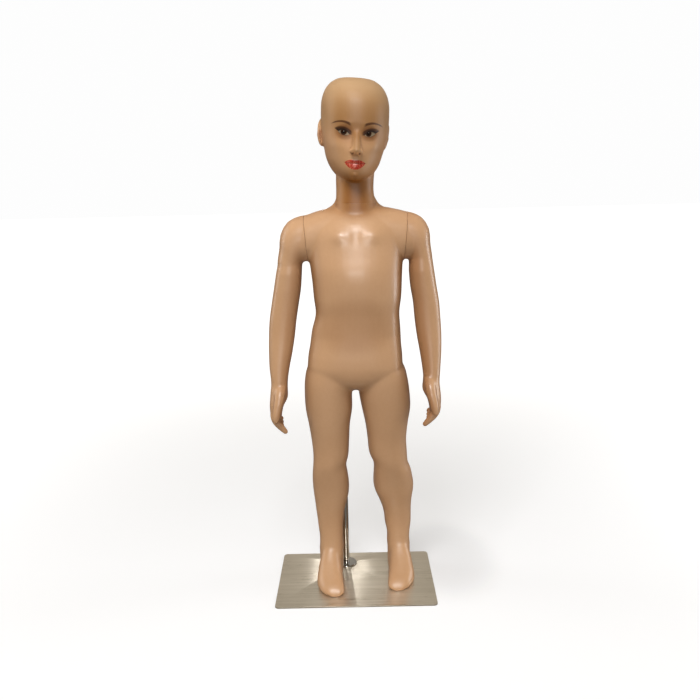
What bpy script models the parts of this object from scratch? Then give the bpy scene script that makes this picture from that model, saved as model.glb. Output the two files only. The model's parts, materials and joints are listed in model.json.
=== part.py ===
"""A child-size shop mannequin on a steel base plate, held up by a bent calf rod.

Metres, +Z up. The origin is the middle of the plate's underside. The figure faces -Y, so its
right arm and right leg are on the -X side. Tables of body sections are in millimetres.
"""

import math

import bmesh
import bpy
from mathutils import Matrix, Vector

MM = 0.001
GAP = 0.0003            # between pieces that rest on each other or fit into each other

# Base plate, flange and rod
PLATE_WIDTH = 0.350
PLATE_DEPTH = 0.250
PLATE_THICK = 0.003
PLATE_CORNER = 0.009
ROD_FOOT = Vector((-0.0230, 0.0738, PLATE_THICK + GAP))
ROD_RADIUS = 0.008
ROD_BORE = 0.0065
ROD_BEND_START = 0.165
ROD_BEND_RADIUS = 0.040
ROD_BEND_ANGLE = math.radians(22)
ROD_LEAN = Vector((-0.57, -0.82, 0)).normalized()
PEG_LENGTH = 0.090
FLANGE_RADIUS = 0.025
FLANGE_THICK = 0.003
BOLT_RADIUS = 0.004
BOLT_HEAD_RADIUS = 0.0078
BOLT_LENGTH = 0.020
BOLT_SINK = 0.0024       # depth of the countersink, less than the plate's thickness
HEX_KEY_RADIUS = 0.0028
HEX_KEY_DEPTH = 0.0016
INSERT_LENGTH = 0.022
SOCKET_LENGTH = 0.085
SOCKET_CAP = 0.006       # sleeve beyond the tip of the peg

# Calf socket
SOCKET_OUTER = 0.0105
SOCKET_BORE = 0.0085
SOCKET_WALL = 0.003     # plastic left around the sleeve

# Plastic shells
WALL = 3.0              # mm, normal wall
END_WALL = 0.006        # thickened wall behind each joint face

# Joint planes: middle of the seam and the direction it faces
BODY_X = 0.016
SEAM_GAP = 0.0006
SHOULDER_HALF = 0.1045
SHOULDER_Y = 0.010
SHOULDER_Z = 0.782
SHOULDER_TILT = math.radians(4.5)
NECK_CENTRE = Vector((0.0165, 0.010, 0.848))
NECK_AXIS = Vector((0, 0, 1))      # upright, so the head's weight doesn't turn it

# Bayonet fittings: radii shrink by this factor at the neck
FLANGE_R = 0.030
FLANGE_T = 0.0025
HUB_R = 0.0215
HUB_DEPTH = 0.009
BORE_R = 0.016
POST_R = 0.0155
POST_END = 0.0135
LUG_R = 0.020
LUG_T = 0.0032
LUG_WIDTHS = (0.012, 0.016)
SCREW_CIRCLE = 0.0258
NECK_FIT = 0.85

SCREW_HEAD_R = 0.0028
SCREW_HEAD_T = 0.0014
SCREW_R = 0.0014
SCREW_LENGTH = 0.0066

SKIN = (0.63, 0.41, 0.25)
CHROME = (0.62, 0.61, 0.59)
STEEL = (0.40, 0.37, 0.33)
ZINC = (0.52, 0.52, 0.50)
NYLON = (0.80, 0.79, 0.74)
BLACK = (0.03, 0.03, 0.03)


# ---------------------------------------------------------------- collections and materials

def clear_scene():
    for obj in list(bpy.data.objects):
        bpy.data.objects.remove(obj, do_unlink=True)


def new_collection(name):
    collection = bpy.data.collections.new(name)
    bpy.context.scene.collection.children.link(collection)
    return collection


def principled(name, colour, roughness, metallic=0.0):
    material = bpy.data.materials.new(name)
    material.use_nodes = True
    shader = material.node_tree.nodes["Principled BSDF"]
    shader.inputs["Base Color"].default_value = (*colour, 1.0)
    shader.inputs["Roughness"].default_value = roughness
    shader.inputs["Metallic"].default_value = metallic
    return material


# ---------------------------------------------------------------- mesh helpers

def object_from_bmesh(name, bm):
    bmesh.ops.recalc_face_normals(bm, faces=bm.faces)
    mesh = bpy.data.meshes.new(name)
    bm.to_mesh(mesh)
    bm.free()
    obj = bpy.data.objects.new(name, mesh)
    PARTS.objects.link(obj)
    return obj


def evaluated_mesh(obj):
    graph = bpy.context.evaluated_depsgraph_get()
    graph.update()
    return bpy.data.meshes.new_from_object(obj.evaluated_get(graph))


def clean_mesh(mesh, single_skin=False):
    """Weld a mesh; only one with a single skin may have its normals worked out afresh."""
    bm = bmesh.new()
    bm.from_mesh(mesh)
    bmesh.ops.remove_doubles(bm, verts=bm.verts, dist=2e-5)
    bmesh.ops.dissolve_degenerate(bm, dist=1e-5, edges=bm.edges)
    if single_skin:
        bmesh.ops.recalc_face_normals(bm, faces=bm.faces)
    bm.to_mesh(mesh)
    bm.free()


def combine(target, tool, operation, keep_tool=False):
    """Boolean of two closed objects, applied to the target."""
    modifier = target.modifiers.new(operation.lower(), "BOOLEAN")
    modifier.operation = operation
    modifier.object = tool
    old = target.data
    target.data = evaluated_mesh(target)
    target.modifiers.clear()
    bpy.data.meshes.remove(old)
    clean_mesh(target.data)
    if not keep_tool:
        bpy.data.objects.remove(tool, do_unlink=True)
    return target


def superellipse(half_width, front, back, power, count):
    """Outline points (across, depth); depth runs from -front to +back."""
    points = []
    for i in range(count):
        angle = 2 * math.pi * i / count
        c = math.cos(angle)
        s = math.sin(angle)
        depth = back if s > 0 else front
        across = half_width * math.copysign(abs(c) ** (2 / power), c)
        points.append((across, depth * math.copysign(abs(s) ** (2 / power), s)))
    return points


def loft(name, rings):
    """Closed solid through rings of equal point counts."""
    bm = bmesh.new()
    verts = [[bm.verts.new(point) for point in ring] for ring in rings]
    count = len(rings[0])
    for lower, upper in zip(verts, verts[1:]):
        for i in range(count):
            j = (i + 1) % count
            bm.faces.new((lower[i], lower[j], upper[j], upper[i]))
    bm.faces.new(verts[0])
    bm.faces.new(verts[-1])
    return object_from_bmesh(name, bm)


def upright_loft(name, rows, inset=0.0, count=20, trim=(0, 0)):
    """Loft through horizontal sections (z, centre x, half width, front y, back y), in mm."""
    rings = []
    for z, x, half, front, back in rows:
        middle = (front + back) / 2
        depth = (back - front) / 2 - inset
        outline = superellipse(half - inset, depth, depth, 2.15, count)
        rings.append([Vector((x + a, middle + d, z)) * MM for a, d in outline])
    for ring, shift in ((rings[0], trim[0]), (rings[-1], trim[1])):
        for point in ring:
            point.z += shift * MM
    return loft(name, rings)


def level(table, z):
    """Straight-line reading of a table of (z, front, back), highest row first."""
    for upper, lower in zip(table, table[1:]):
        if upper[0] >= z >= lower[0]:
            share = (z - lower[0]) / (upper[0] - lower[0])
            return [low + share * (high - low) for high, low in zip(upper[1:], lower[1:])]
    return list(table[0][1:]) if z > table[0][0] else list(table[-1][1:])


def axis_matrix(centre, axis, spin=0.0):
    """Frame at a centre whose Z runs along the axis."""
    turn = Vector(axis).to_track_quat("Z", "Y").to_matrix().to_4x4()
    return Matrix.Translation(centre) @ turn @ Matrix.Rotation(spin, 4, "Z")


def cylinder(name, radius, low, high, matrix=Matrix.Identity(4), segments=24):
    bm = bmesh.new()
    place = matrix @ Matrix.Translation((0, 0, (low + high) / 2))
    bmesh.ops.create_cone(bm, cap_ends=True, segments=segments, radius1=radius, radius2=radius,
                          depth=high - low, matrix=place)
    return object_from_bmesh(name, bm)


def block(name, size, centre, matrix=Matrix.Identity(4)):
    bm = bmesh.new()
    scale = Matrix.Diagonal((*size, 1.0))
    bmesh.ops.create_cube(bm, size=1.0, matrix=matrix @ Matrix.Translation(centre) @ scale)
    return object_from_bmesh(name, bm)


def turned(name, profile, matrix=Matrix.Identity(4), segments=32):
    """Solid of revolution about local Z from (radius, height) points that start and end on it."""
    bm = bmesh.new()
    verts = [bm.verts.new((radius, 0, height)) for radius, height in profile]
    for a, b in zip(verts, verts[1:]):
        bm.edges.new((a, b))
    mesh = bpy.data.meshes.new(name)
    bm.to_mesh(mesh)
    bm.free()
    obj = bpy.data.objects.new(name, mesh)
    PARTS.objects.link(obj)
    screw = obj.modifiers.new("turn", "SCREW")
    screw.steps = segments
    screw.render_steps = segments
    screw.use_merge_vertices = True
    screw.merge_threshold = 1e-5
    obj.data = evaluated_mesh(obj)
    obj.modifiers.clear()
    bpy.data.meshes.remove(mesh)
    clean_mesh(obj.data, single_skin=True)
    obj.data.transform(matrix)
    return obj


def pipe(name, points, radius, resolution=5, radii=None):
    """Round bar along points, from a bevelled curve with filled caps."""
    curve = bpy.data.curves.new(name, "CURVE")
    curve.dimensions = "3D"
    curve.bevel_depth = radius
    curve.bevel_resolution = resolution
    curve.use_fill_caps = True
    spline = curve.splines.new("POLY")
    spline.points.add(len(points) - 1)
    for i, point in enumerate(points):
        spline.points[i].co = (*point, 1.0)
        spline.points[i].radius = radii[i] if radii else 1.0
    guide = bpy.data.objects.new(name + "_curve", curve)
    PARTS.objects.link(guide)
    mesh = evaluated_mesh(guide)
    clean_mesh(mesh, single_skin=True)
    obj = bpy.data.objects.new(name, mesh)
    PARTS.objects.link(obj)
    bpy.data.objects.remove(guide, do_unlink=True)
    return obj


def finish(obj, material, pivot=None, parent=None, sharp=35):
    """Name the mesh, shade it, move its origin to the pivot and parent it."""
    obj.data.name = obj.name
    obj.data.materials.clear()
    obj.data.materials.append(material)
    obj.data.shade_smooth()
    obj.data.set_sharp_from_angle(angle=math.radians(sharp))
    pivot = Vector(pivot) if pivot is not None else Vector((0, 0, 0))
    obj.data.transform(Matrix.Translation(-pivot))
    obj.location = pivot
    if parent is not None:
        obj.parent = parent
        obj.matrix_parent_inverse = Matrix.Translation(-parent.location)
    return obj


def pivot_empty(name, location):
    empty = bpy.data.objects.new(name, None)
    empty.location = location
    empty.empty_display_size = 0.03
    PARTS.objects.link(empty)
    return empty


# ---------------------------------------------------------------- the figure's sections (mm)

TORSO_ROWS = [
    # z, centre x, half width, front y, back y
    (449, 8.5, 14, -8, 44),
    (456, 9, 40, -28, 64),
    (466, 9, 66, -44, 76),
    (478, 9.5, 88, -54, 84),
    (494, 9, 101, -60, 90),
    (520, 9.5, 102.5, -65, 87),
    (550, 11, 98.5, -67, 76),
    (583, 13, 95, -67.5, 66),
    (618, 16.5, 90, -69, 62),
    (652, 17.3, 93.5, -73, 67),
    (690, 17, 95.3, -77, 75),
    (716, 16.3, 97.5, -76, 79),
    (740, 16, 100, -71.5, 81),
    (760, 16, 101, -67.5, 80),
    (782, 16, 100, -62.5, 77),
    (800, 16, 94, -56, 73),
    (816, 16.5, 83, -46, 68),
    (830, 17, 65, -40, 64),
    (843, 17.5, 49.5, -37, 60),
    (856, 17, 42, -34, 56),
    (880, 16.5, 39, -33, 53),
]
SHOULDER_ROWS = [
    # distance from the middle, centre z, half height, half depth
    (-125, 774, 46, 40), (-80, 782, 51.5, 49), (-38, 786, 55.5, 56), (0, 786, 57, 58),
    (38, 786, 56, 56), (80, 783.5, 52.5, 49), (125, 776, 46.5, 40),
]
LEG_DEPTHS = [
    # z, front y, back y
    (530, -50, 72), (505, -53, 74), (474, -53, 79), (442, -49.5, 78), (405, -44, 74),
    (368, -38, 68), (331, -31.5, 63), (294, -27, 60), (272, -24.5, 61), (253, -20.5, 66),
    (234, -15.5, 73), (215, -11, 77), (196, -7.5, 76), (178, -4, 73), (158, -1, 67),
    (139, 1, 62), (119, 1, 59), (100, -1, 59), (80, -5, 60), (55, -12, 60), (30, -12, 60),
    (14, -8, 56), (3.4, -4, 46),
]
RIGHT_LEG = [
    # z, centre x, half width
    (530, -38, 50), (505, -41, 52), (474, -47, 54.5), (442, -51, 52.3), (405, -50.9, 51.3),
    (368, -50.9, 45.4), (331, -49.8, 41.8), (294, -50.1, 39.1), (272, -53.2, 37.3),
    (253, -53.1, 39.4), (234, -52.6, 40.9), (215, -52, 41), (196, -52.2, 39.3),
    (178, -53.4, 36.1), (158, -55, 32.6), (139, -55.1, 30.2), (119, -55.2, 28.3),
    (100, -54.2, 27.2), (80, -54.3, 27), (55, -54.7, 27.2), (30, -55, 27), (14, -55, 26),
    (3.4, -55, 24),
]
LEFT_LEG = [
    (530, 58, 46), (505, 61, 51), (474, 68, 54.5), (442, 71.3, 55.9), (405, 75.2, 53.9),
    (368, 76.1, 47.5), (331, 76.4, 43.4), (294, 79.2, 42.2), (272, 84.3, 38.8),
    (253, 87.9, 41.9), (234, 89.3, 44.3), (215, 90.8, 45.8), (196, 92.4, 43.4),
    (178, 94.7, 38.1), (158, 97.5, 33.5), (139, 99.3, 31.1), (119, 100, 30),
    (100, 100.7, 26.8), (80, 100.5, 25.5), (55, 101, 25.8), (30, 101, 26), (14, 101, 25.5),
    (3.4, 101, 23),
]
LEFT_FOOT_BACK = 21.0   # the left foot stands this much further back
FOOT_ROWS = [
    # y, inner edge, outer edge (from the heel's middle line), top z
    (53, 6, -8, 20), (36, 21.5, -23.5, 48), (14, 24, -27.5, 70), (-6, 25, -29.5, 70),
    (-26, 26, -31.5, 56), (-46, 27.5, -31, 41), (-63, 29, -25, 31), (-77, 28.5, -17.5, 24),
    (-84.5, 25.5, -9, 17), (-88.5, 18, -1, 13),
]
HEEL_X = {-1: -55, 1: 101}
FOOT_BOTTOM = 3.3
FOOT_WAIST = 12.0       # height of a foot section's widest level
SEAM_LOW = 725.0        # the shoulder seams end just under the armpits
# Middle of the arch over each armpit (x, z) and its radius
ARMPITS = {-1: (-90.0, 722.0, 8.7), 1: (120.6, 730.5, 7.4)}
FANS = {
    # angle from upright, distance from the arch's middle to the outer skin, half depth
    -1: [(0, 103.5, 43), (18, 98, 42), (36, 83.2, 40), (54, 67.2, 37.5), (72, 61.9, 35.5)],
    1: [(0, 98.5, 43), (18, 93, 42), (36, 79.8, 40), (54, 63.6, 37.5), (72, 57.5, 35.5)],
}
ARM_DEPTHS = [
    (705, -25, 42), (673, -22, 40), (639, -19, 39), (604, -18, 38), (569, -19, 36),
    (534, -22, 32), (498, -26, 26), (475, -29, 20), (458, -31, 16),
]
ARM_ROWS = {
    -1: [
        (705, -127.4, 27.6), (673, -131.9, 29.0), (639, -138.2, 29.2), (604, -144.3, 29),
        (569, -148.1, 28.0), (534, -151.8, 25.4), (498, -155.4, 21.2), (475, -156, 18.3),
        (462, -156.4, 18.0),
    ],
    1: [
        (705, 154.4, 27.0), (673, 158.2, 28), (639, 163.8, 28), (604, 166.8, 27.9),
        (569, 169.8, 26.8), (534, 172.6, 23.8), (498, 173.9, 19.9), (480, 174, 18.2),
        (472, 173.9, 17.8),
    ],
}
# Wrist x, lift of the whole hand, extra inward reach of the fingertips
HANDS = {-1: (-158.2, 0.0, 0.0), 1: (173.3, 10.5, 3.0)}
PALM_ROWS = [
    # z, outward shift, half thickness, front y, back y
    (470, -1.0, 16.4, -30, 19), (451, -0.6, 18.0, -35, 17), (434, 0.8, 18.4, -38, 19),
    (418, 5.7, 14.8, -37, 21), (402, 7.2, 12.2, -35, 19),
]
FINGERS = [
    # (outward, y, z) along the finger, radius, share of it left at the tip
    ([(10.6, -25, 408), (8.8, -25.5, 392), (1.6, -27, 380.5), (-8.0, -27, 370),
      (-14.6, -27, 362.2)], 8.6, 0.55),
    ([(10, -12, 408), (8.5, -12, 392), (4.2, -12.5, 382), (-3, -13, 374)], 8.5, 0.6),
    ([(9.5, 1.5, 406), (8.2, 1.5, 390), (4, 1, 382.5), (-2, 0.5, 378)], 8.0, 0.6),
    ([(9, 14.5, 408), (7.5, 14, 396), (3, 13, 391), (-5, 12, 392)], 7.2, 0.6),
]
THUMB = [(-5.5, -18, 461), (-4.8, -30, 450), (-2.5, -39, 434), (1.4, -44, 417),
         (4.0, -46.5, 398)]
THUMB_RADIUS = 12.0
THUMB_TAPER = [1.0, 1.0, 0.9, 0.78, 0.5]
NECK_ROWS = [
    # z, centre x, half width, front y, back y
    (818, 17, 64, -46, 68), (832, 17, 62, -40, 64), (845, 17.5, 48, -36.5, 60),
    (858, 17, 41.5, -34, 56), (875, 16.5, 39, -33, 53), (893, 16.8, 39.3, -33, 53),
    (912, 18, 40, -36, 54), (930, 19, 38, -34, 52),
]
# The skull's own frame: x to its left, -y forward, z up, from between the eyes
HEAD_CENTRE = Vector((0.0188, 0.003, 0.984))
HEAD_TURN = math.radians(3.2)
HEAD_TILT = math.radians(5.1)
SKULL_ROWS = [
    # z, sideways shift, half width, front y, back y
    (-92, 2.6, 14, -54, 18), (-84, 2.2, 30.5, -69, 44), (-76, 1.8, 39.6, -73.5, 52),
    (-66, 1.3, 47.3, -76, 57), (-56, 0.8, 52.8, -77.5, 61), (-44, 0.2, 57.2, -78.5, 67),
    (-30, 0, 60.8, -79.5, 75), (-16, 0, 64.6, -79.5, 83), (2, 0, 67.8, -80.5, 91),
    (22, -1.1, 69.5, -84.5, 96), (44, -2.2, 70, -85.5, 97), (66, -3.3, 68.8, -82, 93),
    (83, -4.1, 63.7, -74, 85), (95.5, -4.8, 55.8, -62, 72), (104, -5.2, 45.5, -48, 58),
    (109.2, -5.5, 31, -30, 42), (111.3, -5.6, 14, -8, 22),
]
NOSE = [(0, -74, 12), (0, -79, -6), (0, -84, -24), (0, -85, -34), (0, -76, -42)]
NOSE_RADIUS = 9.8
NOSE_TAPER = [0.5, 0.7, 0.9, 1.0, 0.6]
# Ear middle from the head's middle and the angle it stands off
EARS = {-1: (66.8, 33), 1: (64.5, 12)}
EAR_BACK = 20.0
EAR_HEIGHT = 6.5
EAR_SPLAY = math.radians(7)
EAR_LEAN = math.radians(-10)
EAR_SIZE = (5.6, 17.5, 28.8)


def horizontal_rows(centres, depths, back_shift=0.0):
    """Join a limb's centre table with its depth table."""
    rows = []
    top = centres[0][0]
    bottom = 120.0
    for z, x, half in centres:
        front, back = level(depths, z)
        shift = back_shift * min(1.0, (top - z) / (top - bottom))
        rows.append((z, x, half, front + shift, back + shift))
    return rows


def foot(side, back_shift, inset=0.0):
    rings = []
    for y, inner, outer, top in FOOT_ROWS:
        centre = HEEL_X[side] - side * (inner + outer) / 2
        width = max((inner - outer) / 2 - inset, 4)
        up = max(top - FOOT_WAIST - inset, 2.5)
        down = FOOT_WAIST - FOOT_BOTTOM - inset
        outline = superellipse(width, down, up, 2.4, 16 if inset == 0 else 8)
        depth = y + back_shift - (inset if y > 0 else -inset)
        rings.append([Vector((centre + a, depth, FOOT_WAIST + d)) * MM for a, d in outline])
    return loft("foot", rings)


def across_shoulders(name, inset=0.0, count=20):
    rings = []
    for offset, z, height, depth in SHOULDER_ROWS:
        outline = superellipse(depth - inset, height - inset, height - inset, 2.1, count)
        rings.append([Vector((BODY_X / MM + offset, SHOULDER_Y / MM + a, z + d)) * MM
                      for a, d in outline])
    return loft(name, rings)


def shoulder_frame(side):
    """Seam centre and outward axis; side is -1 for the right arm, +1 for the left."""
    centre = Vector((BODY_X + side * SHOULDER_HALF, SHOULDER_Y, SHOULDER_Z))
    axis = Vector((side * math.cos(SHOULDER_TILT), 0, -math.sin(SHOULDER_TILT)))
    return centre, axis


def neck_frame():
    return NECK_CENTRE, NECK_AXIS


def half_space(name, centre, axis, start, width=0.30, length=0.25):
    """A block that fills the side of a plane that the axis points to."""
    return block(name, (width, width, length), (0, 0, start + length / 2),
                 axis_matrix(centre, axis))


def shoulder_block(name, side, start):
    """The space outside a shoulder seam, from just under the armpit up."""
    centre, axis = shoulder_frame(side)
    seam = centre + axis * start
    low = SEAM_LOW * MM
    high = 0.90
    slope = math.tan(SHOULDER_TILT)
    rings = []
    for z in (low, high):
        inner = seam.x + side * slope * (z - seam.z)
        outer = inner + side * 0.12
        rings.append([Vector((inner, -0.12, z)), Vector((outer, -0.12, z)),
                      Vector((outer, 0.14, z)), Vector((inner, 0.14, z))])
    return loft(name, rings)


# ---------------------------------------------------------------- joint fittings

def screw_solid(name, matrix, clearance=0.0):
    """Countersunk screw along local -Z, its head flush with z = 0."""
    c = clearance
    profile = [(0, c), (SCREW_HEAD_R + c, c), (SCREW_HEAD_R + c, 0),
               (SCREW_R + c, -SCREW_HEAD_T), (SCREW_R + c, -SCREW_LENGTH - c),
               (0, -SCREW_LENGTH - c)]
    if c == 0:
        profile = [(0, 0)] + profile[2:]
    return turned(name, profile, matrix, segments=10)


def screw_places(scale, phase):
    places = []
    for i in range(3):
        angle = phase + i * 2 * math.pi / 3
        radius = SCREW_CIRCLE * scale
        places.append(Matrix.Translation((radius * math.cos(angle), radius * math.sin(angle), 0)))
    return places


def lug_pair(name, radius, widths, low, high, matrix):
    """Two opposite lugs of unequal width, as a cross-bar trimmed to a circle."""
    disc = cylinder(name, radius, low, high, matrix)
    bar = None
    for sign, width in ((1, widths[0]), (-1, widths[1])):
        wing = block("wing", (radius * 1.2, width, (high - low) * 3),
                     (sign * radius * 0.6, 0, (low + high) / 2), matrix)
        bar = wing if bar is None else combine(bar, wing, "UNION")
    return combine(disc, bar, "INTERSECT")


def bayonet(label, centre, axis, scale, lock_turn):
    """Ring on the body side and plug on the moving side of one joint, with their screws."""
    frame = axis_matrix(centre, axis)
    ring_face = -GAP
    plug_face = SEAM_GAP + GAP
    ring = cylinder(label + "_ring", FLANGE_R * scale, ring_face - FLANGE_T, ring_face, frame)
    hub = cylinder("hub", HUB_R * scale, -HUB_DEPTH, ring_face - FLANGE_T / 2, frame)
    combine(ring, hub, "UNION")
    combine(ring, cylinder("bore", BORE_R * scale, -0.03, 0.03, frame), "DIFFERENCE")
    slots = axis_matrix(centre, axis, lock_turn)
    slot_widths = [width + 0.0012 for width in LUG_WIDTHS]
    combine(ring, lug_pair("slots", (LUG_R + 0.0005) * scale, slot_widths, -0.03, 0.03, slots),
            "DIFFERENCE")

    plug = cylinder(label + "_plug", FLANGE_R * scale, plug_face, plug_face + FLANGE_T, frame)
    combine(plug, cylinder("post", POST_R * scale, -POST_END, plug_face + FLANGE_T / 2, frame),
            "UNION")
    lug_low = -POST_END
    lugs = lug_pair("lugs", LUG_R * scale, LUG_WIDTHS, lug_low, lug_low + LUG_T, frame)
    combine(plug, lugs, "UNION")
    combine(plug, cylinder("lightening", POST_R * scale - 0.003, -0.03, 0.03, frame),
            "DIFFERENCE")

    screws = []
    ring_cuts = []
    plug_cuts = []
    for i, place in enumerate(screw_places(scale, math.radians(90))):
        seat = frame @ Matrix.Translation((0, 0, ring_face)) @ place
        screws.append(screw_solid("%s_ring_screw_%d" % (label, i + 1), seat))
        ring_cuts.append(seat)
        turn = Matrix.Rotation(math.pi, 4, "X")
        seat = frame @ Matrix.Translation((0, 0, plug_face)) @ place @ turn
        screws.append(screw_solid("%s_plug_screw_%d" % (label, i + 1), seat))
        plug_cuts.append(seat)
    for seat in ring_cuts:
        combine(ring, screw_solid("cut", seat, GAP), "DIFFERENCE")
    for seat in plug_cuts:
        combine(plug, screw_solid("cut", seat, GAP), "DIFFERENCE")
    return ring, plug, screws, ring_cuts, plug_cuts


def cut_ring_seat(shell, centre, axis, scale, cuts):
    """Recess, opening and pilot holes for a ring in the body shell."""
    frame = axis_matrix(centre, axis)
    recess = cylinder("recess", FLANGE_R * scale + GAP, -FLANGE_T - 2 * GAP, 0.01, frame)
    combine(shell, recess, "DIFFERENCE")
    combine(shell, cylinder("opening", HUB_R * scale + GAP, -0.03, 0.01, frame), "DIFFERENCE")
    for seat in cuts:
        combine(shell, screw_solid("cut", seat, GAP), "DIFFERENCE")


def cut_plug_seat(shell, centre, axis, scale, cuts):
    """Recess, vent and pilot holes for a plug in the moving shell."""
    frame = axis_matrix(centre, axis)
    low = SEAM_GAP - 0.01
    recess = cylinder("recess", FLANGE_R * scale + GAP, low, SEAM_GAP + FLANGE_T + 2 * GAP, frame)
    combine(shell, recess, "DIFFERENCE")
    combine(shell, cylinder("vent", POST_R * scale - 0.003, low, 0.03, frame), "DIFFERENCE")
    for seat in cuts:
        combine(shell, screw_solid("cut", seat, GAP), "DIFFERENCE")


# ---------------------------------------------------------------- base plate and rod

def rod_path(end_extra=0.0, start_drop=0.0):
    """Centre line of the rod: upright, one bend, then the straight peg."""
    points = [ROD_FOOT - Vector((0, 0, start_drop))]
    corner = Vector((ROD_FOOT.x, ROD_FOOT.y, ROD_BEND_START))
    steps = 5
    for i in range(steps + 1):
        angle = ROD_BEND_ANGLE * i / steps
        points.append(corner + ROD_LEAN * ROD_BEND_RADIUS * (1 - math.cos(angle))
                      + Vector((0, 0, ROD_BEND_RADIUS * math.sin(angle))))
    points.append(points[-1] + peg_direction() * (PEG_LENGTH + end_extra))
    return points


def peg_direction():
    return ROD_LEAN * math.sin(ROD_BEND_ANGLE) + Vector((0, 0, math.cos(ROD_BEND_ANGLE)))


def make_base():
    foot_frame = Matrix.Translation((ROD_FOOT.x, ROD_FOOT.y, 0))
    plate = block("base_plate", (PLATE_WIDTH, PLATE_DEPTH, PLATE_THICK), (0, 0, PLATE_THICK / 2))
    bm = bmesh.new()
    bm.from_mesh(plate.data)
    upright = [e for e in bm.edges if abs(e.verts[0].co.z - e.verts[1].co.z) > PLATE_THICK / 2]
    bmesh.ops.bevel(bm, geom=upright, offset=PLATE_CORNER, segments=6, affect="EDGES",
                    profile=0.5)
    bm.to_mesh(plate.data)
    bm.free()
    head_low = GAP
    cone_top = head_low + BOLT_SINK
    bolt = turned("rod_bolt", [(0, BOLT_LENGTH), (BOLT_RADIUS, BOLT_LENGTH),
                               (BOLT_RADIUS, cone_top), (BOLT_HEAD_RADIUS, head_low),
                               (0, head_low)], foot_frame, 24)
    hex_key = cylinder("key", HEX_KEY_RADIUS, -0.001, head_low + HEX_KEY_DEPTH, foot_frame,
                       segments=6)
    combine(bolt, hex_key, "DIFFERENCE")
    cut = [(0, 0.01), (BOLT_RADIUS + GAP, 0.01), (BOLT_RADIUS + GAP, cone_top + GAP / 2),
           (BOLT_HEAD_RADIUS + GAP, head_low), (BOLT_HEAD_RADIUS + GAP, -0.002), (0, -0.002)]
    combine(plate, turned("cut", cut, foot_frame, 24), "DIFFERENCE")

    flange = cylinder("rod_flange", FLANGE_RADIUS, PLATE_THICK + GAP,
                      PLATE_THICK + GAP + FLANGE_THICK, foot_frame, 40)
    bm = bmesh.new()
    bm.from_mesh(flange.data)
    top = PLATE_THICK + GAP + FLANGE_THICK
    rim = [e for e in bm.edges if all(abs(v.co.z - top) < 1e-5 for v in e.verts)
           and len(e.link_faces) == 2]
    bmesh.ops.bevel(bm, geom=rim, offset=0.0012, segments=2, affect="EDGES", profile=0.5)
    bm.to_mesh(flange.data)
    bm.free()
    combine(flange, cylinder("cut", ROD_RADIUS + GAP, -0.01, 0.02, foot_frame, 24), "DIFFERENCE")

    rod = pipe("support_rod", rod_path(), ROD_RADIUS)
    combine(rod, pipe("bore", rod_path(0.01, 0.01), ROD_BORE), "DIFFERENCE")

    low = ROD_FOOT.z
    insert = cylinder("rod_thread_insert", ROD_BORE - GAP, low, low + INSERT_LENGTH,
                      foot_frame, 24)
    combine(insert, cylinder("cut", BOLT_RADIUS + GAP, -0.01, 0.04, foot_frame, 24), "DIFFERENCE")

    tip = axis_matrix(rod_path()[-1], peg_direction())
    plug_r = ROD_BORE - GAP
    cap = turned("rod_end_cap", [(0, 0.0045), (0.0040, 0.0040), (0.0066, 0.0028),
                                 (ROD_RADIUS - 0.0002, GAP), (plug_r, GAP), (plug_r, -0.010),
                                 (0, -0.010)], tip, 24)
    finish(plate, MATERIALS["plate"])
    finish(bolt, MATERIALS["zinc"])
    finish(flange, MATERIALS["chrome"])
    finish(rod, MATERIALS["chrome"])
    finish(insert, MATERIALS["zinc"])
    finish(cap, MATERIALS["black"])


# ---------------------------------------------------------------- body shells

def socket_frame():
    return axis_matrix(rod_path()[-1], peg_direction())


def legs(inset=0.0):
    """Both legs and feet; the inset ones, for the hollow, stop above the soles."""
    right = horizontal_rows(RIGHT_LEG, LEG_DEPTHS)
    left = horizontal_rows(LEFT_LEG, LEG_DEPTHS, LEFT_FOOT_BACK)
    if inset:
        right, left = right[:-2], left[:-2]
    count = 8 if inset else 16
    trim = (-inset, 0)
    return [upright_loft("leg", right, inset, count, trim),
            upright_loft("leg", left, inset, count, trim),
            foot(-1, 0, inset), foot(1, LEFT_FOOT_BACK, inset)]


def body_outer():
    torso = upright_loft("torso_and_legs", TORSO_ROWS)
    combine(torso, across_shoulders("bar"), "UNION")
    for side in (-1, 1):
        combine(torso, shoulder_block("seam", side, 0.0), "DIFFERENCE")
    centre, axis = neck_frame()
    combine(torso, half_space("seam", centre, axis, 0.0), "DIFFERENCE")
    for leg in legs():
        combine(torso, leg, "UNION")
    return torso


def body_inner():
    torso = upright_loft("hollow", TORSO_ROWS[1:], WALL, 12, (WALL, 0))
    combine(torso, across_shoulders("bar", WALL, 12), "UNION")
    for side in (-1, 1):
        combine(torso, shoulder_block("seam", side, -END_WALL), "DIFFERENCE")
    centre, axis = neck_frame()
    combine(torso, half_space("seam", centre, axis, -END_WALL), "DIFFERENCE")
    for leg in legs(WALL):
        combine(torso, leg, "UNION")
    boss = cylinder("boss", SOCKET_OUTER + SOCKET_WALL, -SOCKET_LENGTH - 0.005,
                    SOCKET_CAP + SOCKET_WALL, socket_frame())
    return combine(torso, boss, "DIFFERENCE")


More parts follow.
